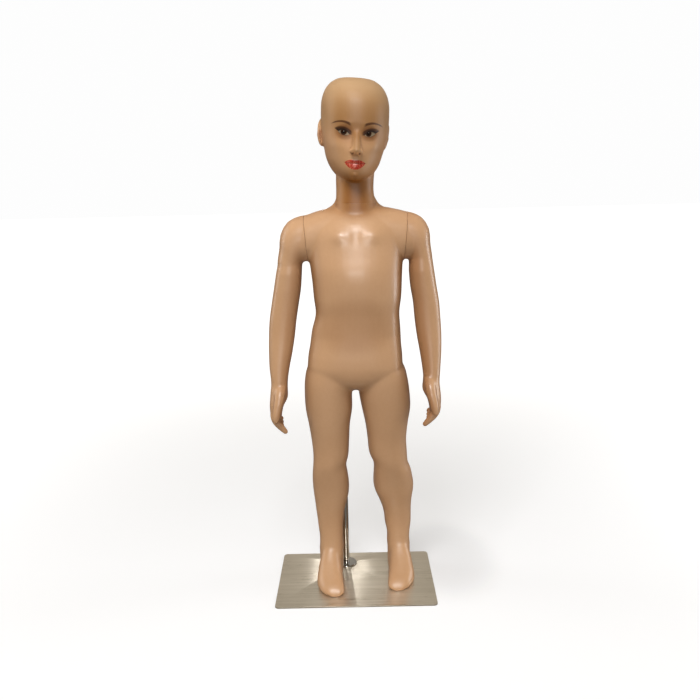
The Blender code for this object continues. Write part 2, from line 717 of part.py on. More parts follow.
def make_body(fittings, root_empty):
    body = body_outer()
    frame = socket_frame()
    sleeve = cylinder("calf_socket", SOCKET_OUTER, -SOCKET_LENGTH, SOCKET_CAP, frame, 24)
    combine(sleeve, body, "INTERSECT", keep_tool=True)
    combine(sleeve, cylinder("cut", SOCKET_BORE, -0.1, 0.02, frame, 24), "DIFFERENCE")
    combine(body, body_inner(), "DIFFERENCE")
    hole = cylinder("hole", SOCKET_OUTER + GAP, -0.1, SOCKET_CAP + GAP, frame, 24)
    combine(body, hole, "DIFFERENCE")
    for centre, axis, scale, ring_cuts in fittings.values():
        cut_ring_seat(body, centre, axis, scale, ring_cuts)
    finish(body, MATERIALS["skin"], parent=root_empty)
    finish(sleeve, MATERIALS["zinc"], parent=root_empty)


def fan_rings(side, inset, count):
    """Sections that swing from the shoulder seam round the armpit to the upper arm."""
    arch_x, arch_z, arch_radius = ARMPITS[side]
    root = Vector((arch_x, SHOULDER_Y / MM, arch_z))
    rings = []
    for angle, reach, depth in FANS[side]:
        lean = math.radians(angle) + SHOULDER_TILT * (1 - angle / 90)
        direction = Vector((side * math.sin(lean), 0, math.cos(lean)))
        middle = root + direction * (reach + arch_radius) / 2
        half = (reach - arch_radius) / 2 - inset
        outline = superellipse(depth - inset, half, half, 2.1, count)
        rings.append([(middle + Vector((0, a, 0)) + direction * d) * MM for a, d in outline])
    return rings


def arm_solid(name, side, inset=0.0, count=16):
    rings = fan_rings(side, inset, count)
    axis = shoulder_frame(side)[1]
    rings.insert(0, [point - axis * 0.02 for point in rings[0]])
    # The fan's outline starts at its front-to-back axis, as the level sections below must too
    for z, x, half, front, back in horizontal_rows(ARM_ROWS[side], ARM_DEPTHS):
        middle = (front + back) / 2
        depth = (back - front) / 2 - inset
        outline = superellipse(depth, half - inset, half - inset, 2.1, count)
        rings.append([Vector((x + side * d, middle + a, z)) * MM for a, d in outline])
    return loft(name, rings)


def add_hand(arm, side):
    """Palm facing the thigh, four fingers curling in and the thumb in front."""
    wrist_x, lift, reach = HANDS[side]

    def at(out, y, z):
        return Vector((wrist_x + side * out, y, z + lift)) * MM

    rows = [(z + lift, wrist_x + side * out, half, front, back)
            for z, out, half, front, back in PALM_ROWS]
    combine(arm, upright_loft("palm", rows, count=14), "UNION")
    for path, radius, end in FINGERS:
        shares = [i / (len(path) - 1) for i in range(len(path))]
        points = [at(out - reach * t, y, z) for (out, y, z), t in zip(path, shares)]
        radii = [1 - (1 - end) * t * t for t in shares]
        combine(arm, pipe("finger", points, radius * MM, 2, radii), "UNION")
    thumb = [at(*point) for point in THUMB]
    combine(arm, pipe("thumb", thumb, THUMB_RADIUS * MM, 2, THUMB_TAPER), "UNION")


def make_arm(name, side, plug_cuts, pivot):
    centre, axis = shoulder_frame(side)
    arm = arm_solid(name, side)
    add_hand(arm, side)
    combine(arm, half_space("seam", centre, -axis, -SEAM_GAP), "DIFFERENCE")
    inner = arm_solid("hollow", side, WALL, 8)
    combine(inner, half_space("seam", centre, -axis, -SEAM_GAP - END_WALL), "DIFFERENCE")
    combine(arm, inner, "DIFFERENCE")
    cut_plug_seat(arm, centre, axis, 1.0, plug_cuts)
    finish(arm, MATERIALS["skin"], pivot.location, pivot)


def skull_frame():
    return (Matrix.Translation(HEAD_CENTRE) @ Matrix.Rotation(HEAD_TURN, 4, "Z")
            @ Matrix.Rotation(HEAD_TILT, 4, "Y"))


def skull(name, inset=0.0, count=20):
    """Cranium and jaw in their own tilted frame."""
    trim = (inset, -inset)
    obj = upright_loft(name, SKULL_ROWS, inset, count, trim)
    obj.data.transform(skull_frame())
    return obj


def add_features(head):
    frame = skull_frame()
    points = [frame @ (Vector(point) * MM) for point in NOSE]
    combine(head, pipe("nose", points, NOSE_RADIUS * MM, 2, NOSE_TAPER), "UNION")
    for side, (out, flare) in EARS.items():
        bm = bmesh.new()
        place = (frame @ Matrix.Translation(Vector((side * out, EAR_BACK, EAR_HEIGHT)) * MM)
                 @ Matrix.Rotation(EAR_SPLAY * side, 4, "Y")
                 @ Matrix.Rotation(math.radians(flare) * side, 4, "Z")
                 @ Matrix.Rotation(EAR_LEAN, 4, "X")
                 @ Matrix.Diagonal((*(Vector(EAR_SIZE) * MM), 1)))
        bmesh.ops.create_uvsphere(bm, u_segments=12, v_segments=8, radius=1.0, matrix=place)
        combine(head, object_from_bmesh("ear", bm), "UNION")


def make_head(plug_cuts, pivot):
    centre, axis = neck_frame()
    head = upright_loft("head", NECK_ROWS)
    combine(head, skull("skull"), "UNION")
    add_features(head)
    combine(head, half_space("seam", centre, -axis, -SEAM_GAP), "DIFFERENCE")
    inner = upright_loft("hollow", NECK_ROWS, WALL, 10, (0, -WALL))
    combine(inner, skull("hollow_skull", WALL, 10), "UNION")
    combine(inner, half_space("seam", centre, -axis, -SEAM_GAP - END_WALL), "DIFFERENCE")
    combine(head, inner, "DIFFERENCE")
    cut_plug_seat(head, centre, axis, NECK_FIT, plug_cuts)
    finish(head, MATERIALS["skin"], pivot.location, pivot)


def make_figure():
    body_empty = pivot_empty("body_lift", rod_path()[-1])
    joints = [
        ("right_shoulder", *shoulder_frame(-1), 1.0, math.pi),
        ("left_shoulder", *shoulder_frame(1), 1.0, math.pi),
        ("neck", *neck_frame(), NECK_FIT, math.radians(100)),
    ]
    seats = {}
    plugs = {}
    for label, centre, axis, scale, lock_turn in joints:
        pivot = pivot_empty(label + "_pivot", centre)
        pivot.parent = body_empty
        pivot.matrix_parent_inverse = Matrix.Translation(-body_empty.location)
        ring, plug, screws, ring_cuts, plug_cuts = bayonet(label, centre, axis, scale, lock_turn)
        seats[label] = (centre, axis, scale, ring_cuts)
        plugs[label] = (plug_cuts, pivot)
        finish(ring, MATERIALS["zinc"], parent=body_empty)
        finish(plug, MATERIALS["nylon"], pivot.location, pivot)
        for screw in screws:
            moving = "_plug_" in screw.name
            finish(screw, MATERIALS["zinc"], pivot.location if moving else None,
                   pivot if moving else body_empty)
    make_body(seats, body_empty)
    make_arm("right_arm", -1, *plugs["right_shoulder"])
    make_arm("left_arm", 1, *plugs["left_shoulder"])
    make_head(*plugs["neck"])


clear_scene()
PARTS = new_collection("mannequin")
MATERIALS = {
    "skin": principled("skin_plastic", SKIN, 0.38),
    "plate": principled("brushed_steel", STEEL, 0.35, 1.0),
    "chrome": principled("chrome", CHROME, 0.12, 1.0),
    "zinc": principled("zinc_plated_steel", ZINC, 0.35, 1.0),
    "nylon": principled("nylon", NYLON, 0.5),
    "black": principled("black_plastic", BLACK, 0.5),
}
make_base()
make_figure()
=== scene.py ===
"""Finished surfaces, materials, light and camera for the child mannequin round its CAD frame.

Metres, +Z up, figure facing -Y. Tables of body sections are in millimetres and are read by
smooth_table(), which runs a smooth curve through the rows.
"""

import json
import math

import bmesh
import bpy
import numpy as np
from mathutils import Matrix, Vector


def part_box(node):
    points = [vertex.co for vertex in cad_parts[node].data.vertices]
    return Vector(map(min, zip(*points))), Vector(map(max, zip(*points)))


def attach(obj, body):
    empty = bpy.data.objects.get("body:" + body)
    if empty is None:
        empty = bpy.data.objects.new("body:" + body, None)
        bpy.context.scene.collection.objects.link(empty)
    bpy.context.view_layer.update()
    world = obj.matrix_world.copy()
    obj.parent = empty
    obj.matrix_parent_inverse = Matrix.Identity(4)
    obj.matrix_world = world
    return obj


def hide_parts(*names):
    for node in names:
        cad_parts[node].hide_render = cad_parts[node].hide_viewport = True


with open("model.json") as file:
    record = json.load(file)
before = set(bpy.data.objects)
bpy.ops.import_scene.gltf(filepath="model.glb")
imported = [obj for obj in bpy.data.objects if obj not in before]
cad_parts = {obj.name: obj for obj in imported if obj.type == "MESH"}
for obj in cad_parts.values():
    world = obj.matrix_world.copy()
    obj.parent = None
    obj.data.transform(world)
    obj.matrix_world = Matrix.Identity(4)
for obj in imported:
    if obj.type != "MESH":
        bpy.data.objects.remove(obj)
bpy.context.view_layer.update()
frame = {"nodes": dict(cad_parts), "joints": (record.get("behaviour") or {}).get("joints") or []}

MM = 0.001
JOINTS = {joint["name"]: joint for joint in frame["joints"]}

# ---------------------------------------------------------------- places read from the frame

NECK = Vector(JOINTS["head_turn"]["pos_m"])
NECK_AXIS = Vector(JOINTS["head_turn"]["axis"]).normalized()
RIGHT_SHOULDER = Vector(JOINTS["right_arm_turn"]["pos_m"])
LEFT_SHOULDER = Vector(JOINTS["left_arm_turn"]["pos_m"])
RIGHT_AXIS = Vector(JOINTS["right_arm_turn"]["axis"]).normalized()
LEFT_AXIS = -Vector(JOINTS["left_arm_turn"]["axis"]).normalized()
PEG_AXIS = Vector(JOINTS["lift_off"]["axis"]).normalized()

# Gap and broken edge at each shoulder seam, and at the tighter seam of the neck
SEAM_GAP = 0.0004
SEAM_LIP = 0.0003
NECK_GAP = 0.0001
NECK_LIP = 0.00005
# Room for the bayonet rings and plugs; the neck's are smaller by NECK_SCALE
FITTING_RADIUS = 0.0304
RING_BORE = 0.0219
POST_ROOM = 0.0125
FITTING_DEPTH = 0.0031
PLUG_FACE = 0.0006
SCREW_CIRCLE = 0.0258
SCREW_ROOM = 0.0020
NECK_SCALE = 0.85

PLATE_LOW, PLATE_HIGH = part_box("base_plate")
FLANGE_LOW, FLANGE_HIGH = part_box("rod_flange")
ROD_FOOT = Vector(((FLANGE_LOW.x + FLANGE_HIGH.x) / 2, (FLANGE_LOW.y + FLANGE_HIGH.y) / 2,
                   FLANGE_LOW.z))
ROD_RADIUS = 0.008
ROD_BORE = 0.0065
ROD_BEND_START = 0.165
ROD_BEND_RADIUS = 0.040
PEG_LENGTH = 0.090
SOCKET_ROOM = 0.0108
FLANGE_ROUND = 0.0013
PLATE_CORNER = 0.009
PLATE_EDGE = 0.0004
BOLT_ROOM = 0.0043
BOLT_HEAD_ROOM = 0.0081
BOLT_HEAD_LOW = 0.0003
BOLT_HEAD_RISE = 0.00255

VOXEL_BODY = 0.0025
VOXEL_ARM = 0.0017
VOXEL_HEAD = 0.0014


# ---------------------------------------------------------------- sections of the figure (mm)

TORSO_ROWS = [
    # z, centre x, half width, front y, back y
    (449, 8.5, 14, -8, 44), (456, 9, 40, -28, 64), (466, 9, 66, -44, 76),
    (478, 9.5, 88, -54, 84), (494, 9, 101, -60, 90), (520, 9.5, 102.5, -62.5, 87),
    (550, 11, 98.5, -62.5, 76), (583, 13, 95, -63.5, 66), (618, 16.5, 90, -67.5, 62),
    (652, 17.3, 93.5, -73.5, 67), (690, 17, 95.3, -77, 75), (716, 16.3, 97.5, -76, 79),
    (740, 16, 100, -71.5, 81), (760, 16, 101, -67.5, 80), (782, 16, 100, -62.5, 77),
    (800, 16, 94, -56, 73), (814, 16.5, 83, -48, 68), (824, 17, 68, -40, 62),
    (832, 17, 50, -30, 56), (838, 17, 30, -14, 46),
]
HIP_BOX_TOP = 570.0
HIP_BOX_LOW = 500.0
SHOULDER_ROWS = [
    # distance from the middle, centre z, half height, half depth
    (-125, 774, 46, 40), (-103, 778, 48.5, 45), (-80, 782, 51.5, 49), (-60, 784, 54, 53),
    (-38, 786, 55.5, 56), (0, 786, 57, 58), (38, 786, 56, 56), (60, 785, 55, 53),
    (80, 783.5, 52.5, 49), (103, 780, 50.5, 45), (125, 776, 46.5, 40),
]
LEG_DEPTHS = [
    # z, front y, back y
    (530, -50, 72), (505, -53, 74), (474, -53, 79), (442, -49.5, 78), (405, -44, 74),
    (368, -38, 68), (331, -31.5, 63), (294, -27, 60), (272, -24.5, 61), (253, -20.5, 66),
    (234, -15.5, 73), (215, -11, 77), (196, -7.5, 76), (178, -4, 73), (158, -1, 67),
    (139, 1, 62), (119, 1, 59), (100, -1, 59), (80, -5, 60), (55, -12, 60), (30, -12, 60),
    (14, -8, 56), (3.4, -4, 46),
]
RIGHT_LEG = [
    # z, centre x, half width
    (530, -38, 50), (505, -41, 52), (494, -43.5, 54), (474, -47, 54.5), (442, -51, 52.3),
    (405, -50.9, 51.3), (368, -50.9, 45.4), (331, -49.8, 41.8), (294, -50.1, 39.1),
    (272, -53.2, 37.3), (253, -53.1, 39.4), (234, -52.6, 40.9), (215, -52, 41),
    (196, -52.2, 39.3), (178, -53.4, 36.1), (158, -55, 32.6), (139, -55.1, 30.2),
    (119, -55.2, 28.3), (100, -54.2, 27.2), (80, -54.3, 27), (55, -54.7, 27.2), (30, -55, 27),
    (14, -55, 26), (3.4, -55, 24),
]
LEFT_LEG = [
    (530, 58, 46), (505, 61, 51), (494, 64.5, 53), (474, 68, 54.5), (442, 71.3, 55.9),
    (405, 75.2, 53.9), (368, 76.1, 47.5), (331, 76.4, 43.4), (294, 79.2, 42.2),
    (272, 84.3, 38.8), (253, 87.9, 41.9), (234, 89.3, 44.3), (215, 90.8, 45.8),
    (196, 92.4, 43.4), (178, 94.7, 38.1), (158, 97.5, 33.5), (139, 99.3, 31.1),
    (119, 100, 30), (100, 100.7, 26.8), (80, 100.5, 25.5), (55, 101, 25.8), (30, 101, 26),
    (14, 101, 25.5), (3.4, 101, 23),
]
LEFT_FOOT_BACK = 21.0
FOOT_ROWS = [
    # y, inner edge, outer edge (from the heel's middle line), top z
    (-88.5, 18, -1, 11), (-84.5, 25.5, -9, 17), (-77, 28.5, -17.5, 24), (-63, 29, -25, 31),
    (-46, 27.5, -31, 41), (-26, 26, -31.5, 56), (-16, 25.5, -30.5, 66), (-6, 25, -29.5, 76),
    (14, 24, -27.5, 72), (36, 21.5, -23.5, 48), (47, 15, -17, 34), (53, 6, -8, 20),
]
FOOT_BOTTOM = 3.3
FOOT_WAIST = 12.0
# Middle of the arch over each armpit (x, z) and its radius
RIGHT_ARCH = (-90.0, 722.0, 8.7)
LEFT_ARCH = (120.6, 730.5, 7.4)
RIGHT_FAN = [
    # angle from upright, distance from the arch's middle to the outer skin, half depth
    (0, 103.5, 43), (18, 98, 42), (36, 83.2, 40), (54, 67.2, 37.5), (72, 61.9, 35.5),
    (90, 61.3, 34.5),
]
LEFT_FAN = [
    (0, 98.5, 43), (18, 93, 42), (36, 79.8, 40), (54, 63.6, 37.5), (72, 57.5, 35.5),
    (90, 57.2, 34.5),
]
ARM_DEPTHS = [
    (705, -25, 42), (673, -22, 40), (639, -19, 39), (604, -18, 38), (569, -19, 36),
    (534, -22, 32), (498, -26, 26), (475, -29, 20), (458, -31, 16), (448, -32, 15),
]
RIGHT_ARM = [
    # z, centre x, half width
    (705, -127.4, 27.6), (673, -131.9, 29.0), (639, -138.2, 29.2), (604, -144.3, 29),
    (569, -148.1, 28.0), (534, -151.8, 25.4), (498, -155.4, 21.2), (475, -156, 18.3),
    (462, -156.4, 18.0), (448, -156.8, 18.6),
]
LEFT_ARM = [
    (705, 154.4, 27.0), (673, 158.2, 28), (639, 163.8, 28), (604, 166.8, 27.9),
    (569, 169.8, 26.8), (534, 172.6, 23.8), (498, 173.9, 19.9), (480, 174, 18.2),
    (467, 173.8, 17.4), (454, 173.2, 18.0),
]
NECK_ROWS = [
    (790, 17, 46, -36, 48), (806, 17, 46, -38, 50), (822, 17, 45, -38.5, 52),
    (840, 17.2, 42.5, -36.5, 52), (856, 17, 40.5, -34, 53), (875, 16.5, 39, -32, 53),
    (893, 16.8, 39.3, -33, 53), (912, 18, 40, -36, 54), (940, 20, 40, -38, 56),
]
TRAPEZIUS_ROWS = [
    (812, 17, 92, -14, 62), (824, 17, 84, -12, 61), (832, 17.5, 76, -10, 60),
    (838, 18, 63, -8, 59), (842, 18, 54, -7, 58), (846, 18, 49, -5, 57.5),
    (854, 18, 43.5, -2, 57), (862, 17.3, 40.2, 1, 55.5), (872, 17, 36, 8, 53),
    (880, 17, 26, 18, 46),
]


# ---------------------------------------------------------------- mesh helpers

def new_object(name, verts, faces):
    mesh = bpy.data.meshes.new(name)
    mesh.from_pydata([tuple(v) for v in verts], [], faces)
    mesh.update()
    obj = bpy.data.objects.new(name, mesh)
    bpy.context.scene.collection.objects.link(obj)
    return obj


def object_from_bmesh(name, bm):
    mesh = bpy.data.meshes.new(name)
    bm.to_mesh(mesh)
    bm.free()
    obj = bpy.data.objects.new(name, mesh)
    bpy.context.scene.collection.objects.link(obj)
    return obj


def remove(obj):
    bpy.data.objects.remove(obj, do_unlink=True)


def apply_modifiers(obj):
    graph = bpy.context.evaluated_depsgraph_get()
    graph.update()
    mesh = bpy.data.meshes.new_from_object(obj.evaluated_get(graph))
    old = obj.data
    obj.modifiers.clear()
    obj.data = mesh
    bpy.data.meshes.remove(old)
    return obj


def combine(target, tool, operation):
    modifier = target.modifiers.new(operation.lower(), "BOOLEAN")
    modifier.operation = operation
    modifier.object = tool
    apply_modifiers(target)
    remove(tool)
    return target


def smooth_table(rows, step):
    """Rows resampled at even steps of the first column along a smooth curve."""
    table = np.array(rows, float)
    if table[0, 0] > table[-1, 0]:
        table = table[::-1]
    at = table[:, 0]
    slopes = np.gradient(table, at, axis=0)
    count = max(2, int(round((at[-1] - at[0]) / step)) + 1)
    out = []
    for value in np.linspace(at[0], at[-1], count):
        i = min(np.searchsorted(at, value, side="right") - 1, len(at) - 2)
        span = at[i + 1] - at[i]
        t = (value - at[i]) / span
        row = ((2 * t**3 - 3 * t**2 + 1) * table[i] + (t**3 - 2 * t**2 + t) * span * slopes[i]
               + (3 * t**2 - 2 * t**3) * table[i + 1] + (t**3 - t**2) * span * slopes[i + 1])
        out.append(row)
    return out


def outline(half, front, back, power=2.15, count=48, front_power=None):
    """Closed outline as (across, depth) arrays; depth runs from -front to +back."""
    angle = np.arange(count) * 2 * np.pi / count
    c, s = np.cos(angle), np.sin(angle)
    p = np.where(s < 0, front_power or power, power)
    across = half * np.sign(c) * np.abs(c) ** (2 / p)
    depth = np.where(s > 0, back, front) * np.sign(s) * np.abs(s) ** (2 / p)
    return across, depth


def loft(name, rings):
    """Closed object through rings of points, in mm."""
    count = len(rings[0])
    verts = np.concatenate(rings) * MM
    faces = []
    for level in range(len(rings) - 1):
        a = level * count
        for i in range(count):
            j = (i + 1) % count
            faces.append((a + i, a + j, a + count + j, a + count + i))
    last = (len(rings) - 1) * count
    faces.append(tuple(range(count))[::-1])
    faces.append(tuple(range(last, last + count)))
    obj = new_object(name, verts, faces)
    bm = bmesh.new()
    bm.from_mesh(obj.data)
    bmesh.ops.recalc_face_normals(bm, faces=bm.faces)
    bm.to_mesh(obj.data)
    bm.free()
    return obj


def level_loft(name, rows, step=6.0, power=2.15, front_power=None):
    """Loft through horizontal sections (z, centre x, half width, front y, back y)."""
    rings = []
    for z, x, half, front, back in smooth_table(rows, step):
        depth = (back - front) / 2
        shape = power(z) if callable(power) else power
        across, along = outline(half, depth, depth, shape, front_power=front_power)
        rings.append(np.stack([x + across, (front + back) / 2 + along,
                               np.full_like(across, z)], 1))
    return loft(name, rings)


# Radii of the rings that round off a tube's end, as shares of its own radius
DOME_SHARES = (0.15, 0.45, 0.75, 0.93)


def tube(name, points, radii, count=20):
    """Round-ended limb along points (mm)."""
    path = np.array(points, float)
    radii = np.array(radii, float)
    lengths = np.concatenate([[0], np.cumsum(np.linalg.norm(np.diff(path, axis=0), axis=1))])
    table = np.column_stack([lengths, path, radii])
    rows = smooth_table(table, 3.0)
    first, last = rows[0].copy(), rows[-1].copy()
    rings = []
    centres = [row[1:4] for row in rows]
    tangents = np.gradient(np.array(centres), axis=0)
    tangents /= np.linalg.norm(tangents, axis=1)[:, None]
    stations = []
    for share in DOME_SHARES:
        stations.append((first[1:4] - tangents[0] * first[4] * math.sqrt(1 - share**2),
                         tangents[0], first[4] * share))
    for row, tangent in zip(rows, tangents):
        stations.append((row[1:4], tangent, row[4]))
    for share in reversed(DOME_SHARES):
        stations.append((last[1:4] + tangents[-1] * last[4] * math.sqrt(1 - share**2),
                         tangents[-1], last[4] * share))
    angle = np.arange(count) * 2 * np.pi / count
    for centre, tangent, radius in stations:
        side = np.cross(tangent, [0, 1, 0])
        side /= np.linalg.norm(side)
        other = np.cross(tangent, side)
        rings.append(centre + radius * (np.cos(angle)[:, None] * side
                                        + np.sin(angle)[:, None] * other))
    return loft(name, rings)


def fuse(name, objects, voxel):
    """One closed skin round overlapping closed objects."""
    bm = bmesh.new()
    for obj in objects:
        bm.from_mesh(obj.data)
        remove(obj)
    fused = object_from_bmesh(name, bm)
    remesh = fused.modifiers.new("skin", "REMESH")
    remesh.mode = "VOXEL"
    remesh.voxel_size = voxel
    return apply_modifiers(fused)


class Skin:
    """Vertices of a mesh as an array (mm), with smoothing and pressing."""

    def __init__(self, obj):
        self.mesh = obj.data
        count = len(self.mesh.vertices)
        co = np.empty(count * 3)
        self.mesh.vertices.foreach_get("co", co)
        self.co = co.reshape(-1, 3) / MM
        edges = np.empty(len(self.mesh.edges) * 2, np.int64)
        self.mesh.edges.foreach_get("vertices", edges)
        self.edges = edges.reshape(-1, 2)
        self.links = np.maximum(np.bincount(self.edges.ravel(), minlength=count), 1)

    def average(self):
        a, b = self.edges[:, 0], self.edges[:, 1]
        count = len(self.co)
        total = np.empty_like(self.co)
        for k in range(3):
            total[:, k] = (np.bincount(a, self.co[b, k], count)
                           + np.bincount(b, self.co[a, k], count))
        return total / self.links[:, None]

    def relax(self, rounds, weight=None, keep_size=True):
        """Smooth; keep_size follows each pass with a slightly stronger outward one."""
        share = 1.0 if weight is None else weight[:, None]
        for _ in range(rounds):
            self.co += 0.5 * share * (self.average() - self.co)
            if keep_size:
                self.co -= 0.52 * share * (self.average() - self.co)

    def normals(self):
        self.store()
        out = np.empty(len(self.co) * 3)
        self.mesh.vertex_normals.foreach_get("vector", out)
        return out.reshape(-1, 3)

    def near(self, centre, radii, turn=None):
        """Soft weight that is 1 at the centre and fades over the radii (mm)."""
        offset = self.co - np.array(centre, float)
        if turn is not None:
            offset = offset @ np.array(turn)
        return np.exp(-1.6 * ((offset / np.array(radii, float)) ** 2).sum(1))

    def press(self, centre, radii, push, direction=None, turn=None):
        """Move skin near a centre by push mm, outwards or along a direction."""
        weight = self.near(centre, radii, turn)
        way = self.normals() if direction is None else np.array(direction, float)
        self.co += weight[:, None] * push * way

    def press_pairs(self, rows, middle=0.0):
        """Presses mirrored about middle; rows are (out, y, z, three radii, push, direction)."""
        for side in (-1, 1):
            for row in rows:
                out, y, z, rx, ry, rz, push, *way = row
                self.press((middle + side * out, y, z), (rx, ry, rz), push, *way)

    def store(self):
        self.mesh.vertices.foreach_set("co", (self.co * MM).ravel())
        self.mesh.update()


# ---------------------------------------------------------------- limbs and joints of the skin

def limb_rows(centres, depths, back_shift=0.0):
    """Centre table joined with the depth table; the foot end moves back by back_shift."""
    deep = np.array(depths, float)[::-1]
    top = centres[0][0]
    bottom = 120.0
    rows = []
    for z, x, half in centres:
        front = np.interp(z, deep[:, 0], deep[:, 1])
        back = np.interp(z, deep[:, 0], deep[:, 2])
        shift = back_shift * min(1.0, (top - z) / (top - bottom))
        rows.append((z, x, half, front + shift, back + shift))
    return rows


def foot(heel_x, outward, back_shift):
    rings = []
    for y, inner, outer, top in smooth_table(FOOT_ROWS, 3.0):
        centre = heel_x - outward * (inner + outer) / 2
        half = max((inner - outer) / 2, 3)
        across, up = outline(half, FOOT_WAIST - FOOT_BOTTOM, top - FOOT_WAIST, 2.5)
        rings.append(np.stack([centre + across, np.full_like(across, y + back_shift),
                               FOOT_WAIST + up], 1))
    return loft("foot", rings)


def shoulder_bar():
    middle = (RIGHT_SHOULDER + LEFT_SHOULDER) / 2 / MM
    rings = []
    for offset, z, height, depth in smooth_table(SHOULDER_ROWS, 8.0):
        along, up = outline(depth, height, height, 2.1)
        rings.append(np.stack([np.full_like(along, middle.x + offset), middle.y + along,
                               z + up], 1))
    return loft("bar", rings)


def arm_limb(side):
    """Sections swing from the seam round the armpit's arch, then run level to the wrist."""
    arch_x, arch_z, arch_radius = RIGHT_ARCH if side < 0 else LEFT_ARCH
    fan = RIGHT_FAN if side < 0 else LEFT_FAN
    rows = RIGHT_ARM if side < 0 else LEFT_ARM
    axis = RIGHT_AXIS if side < 0 else LEFT_AXIS
    tilt = math.atan2(-axis.z, abs(axis.x))
    root = np.array([arch_x, RIGHT_SHOULDER.y / MM, arch_z])
    rings = []
    for angle, reach, depth in smooth_table(fan, 9.0):
        lean = math.radians(angle) + tilt * (1 - angle / 90)
        way = np.array([side * math.sin(lean), 0, math.cos(lean)])
        middle = root + way * (reach + arch_radius) / 2
        half = (reach - arch_radius) / 2
        along, out = outline(depth, half, half, 2.1)
        rings.append(middle + along[:, None] * [0, 1, 0] + out[:, None] * way)
    rings.insert(0, rings[0] - np.array(axis) * 24)
    for z, x, half, front, back in smooth_table(limb_rows(rows, ARM_DEPTHS), 6.0)[::-1]:
        depth = (back - front) / 2
        along, out = outline(depth, half, half, 2.1)
        rings.append(np.stack([x + side * out, (front + back) / 2 + along,
                               np.full_like(along, z)], 1))
    return loft("arm", rings)


def hand(side, wrist, lift, reach):
    """Palm towards the thigh, thumb in front, fingers curling in by reach more at their tips."""
    def at(out, y, z):
        return (wrist + side * out, y, z + lift)

    palm_rows = [
        (478, -1.4, 15.0, -26, 18), (460, -0.8, 17.2, -31, 17), (451, -0.6, 18.2, -33, 17),
        (443, -0.7, 19.2, -35, 18), (434, 0.8, 18.7, -37, 19), (427, 3.1, 17.1, -38, 20),
        (418, 5.7, 15.0, -37, 21), (409, 6.8, 13.6, -36, 21), (400, 7.3, 12.2, -34, 19),
        (392, 6.6, 10.4, -31, 16),
    ]
    rows = [(z + lift, wrist + side * out, half, front, back)
            for z, out, half, front, back in palm_rows]
    pieces = [level_loft("palm", rows, 4.0, 2.3)]
    index = [(10.6, -25, 404), (9.0, -25.5, 393), (4.4, -26.5, 384.4), (-1.6, -27, 377.2),
             (-8.0, -27, 370), (-12.6, -27, 364.8)]
    middle = [(10, -12, 404), (8.5, -12, 392), (4.2, -12.5, 382), (-2, -13, 375.5)]
    ring = [(9.5, 1.5, 402), (8.2, 1.5, 390), (4, 1, 382.5), (-1, 0.5, 379)]
    little = [(9, 14.5, 402), (7.8, 14, 393), (4.5, 12.5, 386), (-0.5, 11.5, 384)]
    for path, radius, end in ((index, 8.7, 0.62), (middle, 8.6, 0.8), (ring, 8.0, 0.8),
                              (little, 7.2, 0.78)):
        share = np.linspace(0, 1, len(path))
        points = [at(out - reach * t, y, z) for (out, y, z), t in zip(path, share)]
        pieces.append(tube("finger", points, radius * (1 - (1 - end) * share ** 2)))
    thumb = [at(-5.5, -18, 461), at(-4.8, -30, 450), at(-2.5, -39, 434), at(1.4, -44, 417),
             at(3.8, -46.5, 403), at(4.4, -47, 396)]
    pieces.append(tube("thumb", thumb, [12.2, 12.0, 10.8, 9.4, 8.2, 7.3]))
    return pieces


TRUNK_MIDDLE = 16.0
TORSO_PRESSES = [
    # out from the middle, y, z, three radii, push: pecs, collar bones, shoulder blades, seat,
    # flanks and the dimples over the seat
    (36, -64, 784, 24, 40, 20, 4.6), (42, -38, 828, 34, 26, 8, 0.8),
    (46, -44, 813, 36, 30, 9, -0.6), (46, 78, 770, 32, 30, 40, 2.4),
    (50, 84, 478, 42, 34, 34, 4.0), (92, -10, 640, 26, 60, 44, -0.8),
    (30, 66, 592, 14, 20, 16, -0.9),
]
GROIN_ANGLE = 0.62


def press_torso(skin):
    """Soft modelling of chest, collar bones, belly, hips and back."""
    middle = TRUNK_MIDDLE
    skin.press_pairs(TORSO_PRESSES, middle)
    for side in (-1, 1):
        skin.press((middle - 6 + side * 38, -62, 486), (30, 40, 16), -0.8,
                   turn=Matrix.Rotation(side * GROIN_ANGLE, 3, "Y"))
    skin.press((middle, -68, 748), (70, 40, 26), -0.5)
    skin.press((middle, -42, 816), (12, 16, 8), -0.8)
    skin.press((middle, -68, 782), (13, 40, 26), -2.4)
    skin.press((middle, -74, 702), (56, 40, 34), 1.4)
    skin.press((middle, 82, 700), (8, 30, 110), -2.6)
    skin.press((middle - 5, 94, 474), (6, 26, 34), -6.0)


LEG_PRESSES = [
    # the leg's middle x, how far back it stands, its outer side, and the shapes pressed there
    (-52, 0, -1, "knee"), (86, 14, 1, "knee"), (-54, 0, -1, "ankle"), (100, 20, 1, "ankle"),
]
LEG_SHAPES = {
    # out from the leg's middle, y, z, three radii, push
    "knee": [(0, -22, 284, 20, 26, 24, 1.5), (-19, -12, 262, 12, 20, 18, -0.8),
             (17, -12, 262, 12, 20, 18, -0.5), (0, 64, 280, 20, 20, 14, -2.0),
             (-12, 78, 218, 16, 22, 36, 1.6), (14, 78, 224, 14, 22, 34, 1.2)],
    "ankle": [(-25, 26, 74, 10, 12, 12, 1.2), (25, 30, 66, 10, 12, 12, 1.1),
              (0, 58, 92, 9, 12, 26, 1.2), (-13, 52, 84, 6, 12, 24, -1.8),
              (13, 52, 84, 6, 12, 24, -1.8), (-2, -40, 46, 8, 34, 14, 1.0)],
}


def press_legs(skin):
    """Soft knees, calves and ankles."""
    for middle, back, side, shape in LEG_PRESSES:
        for out, y, z, *radii, push in LEG_SHAPES[shape]:
            skin.press((middle + side * out, y + back, z), radii, push)


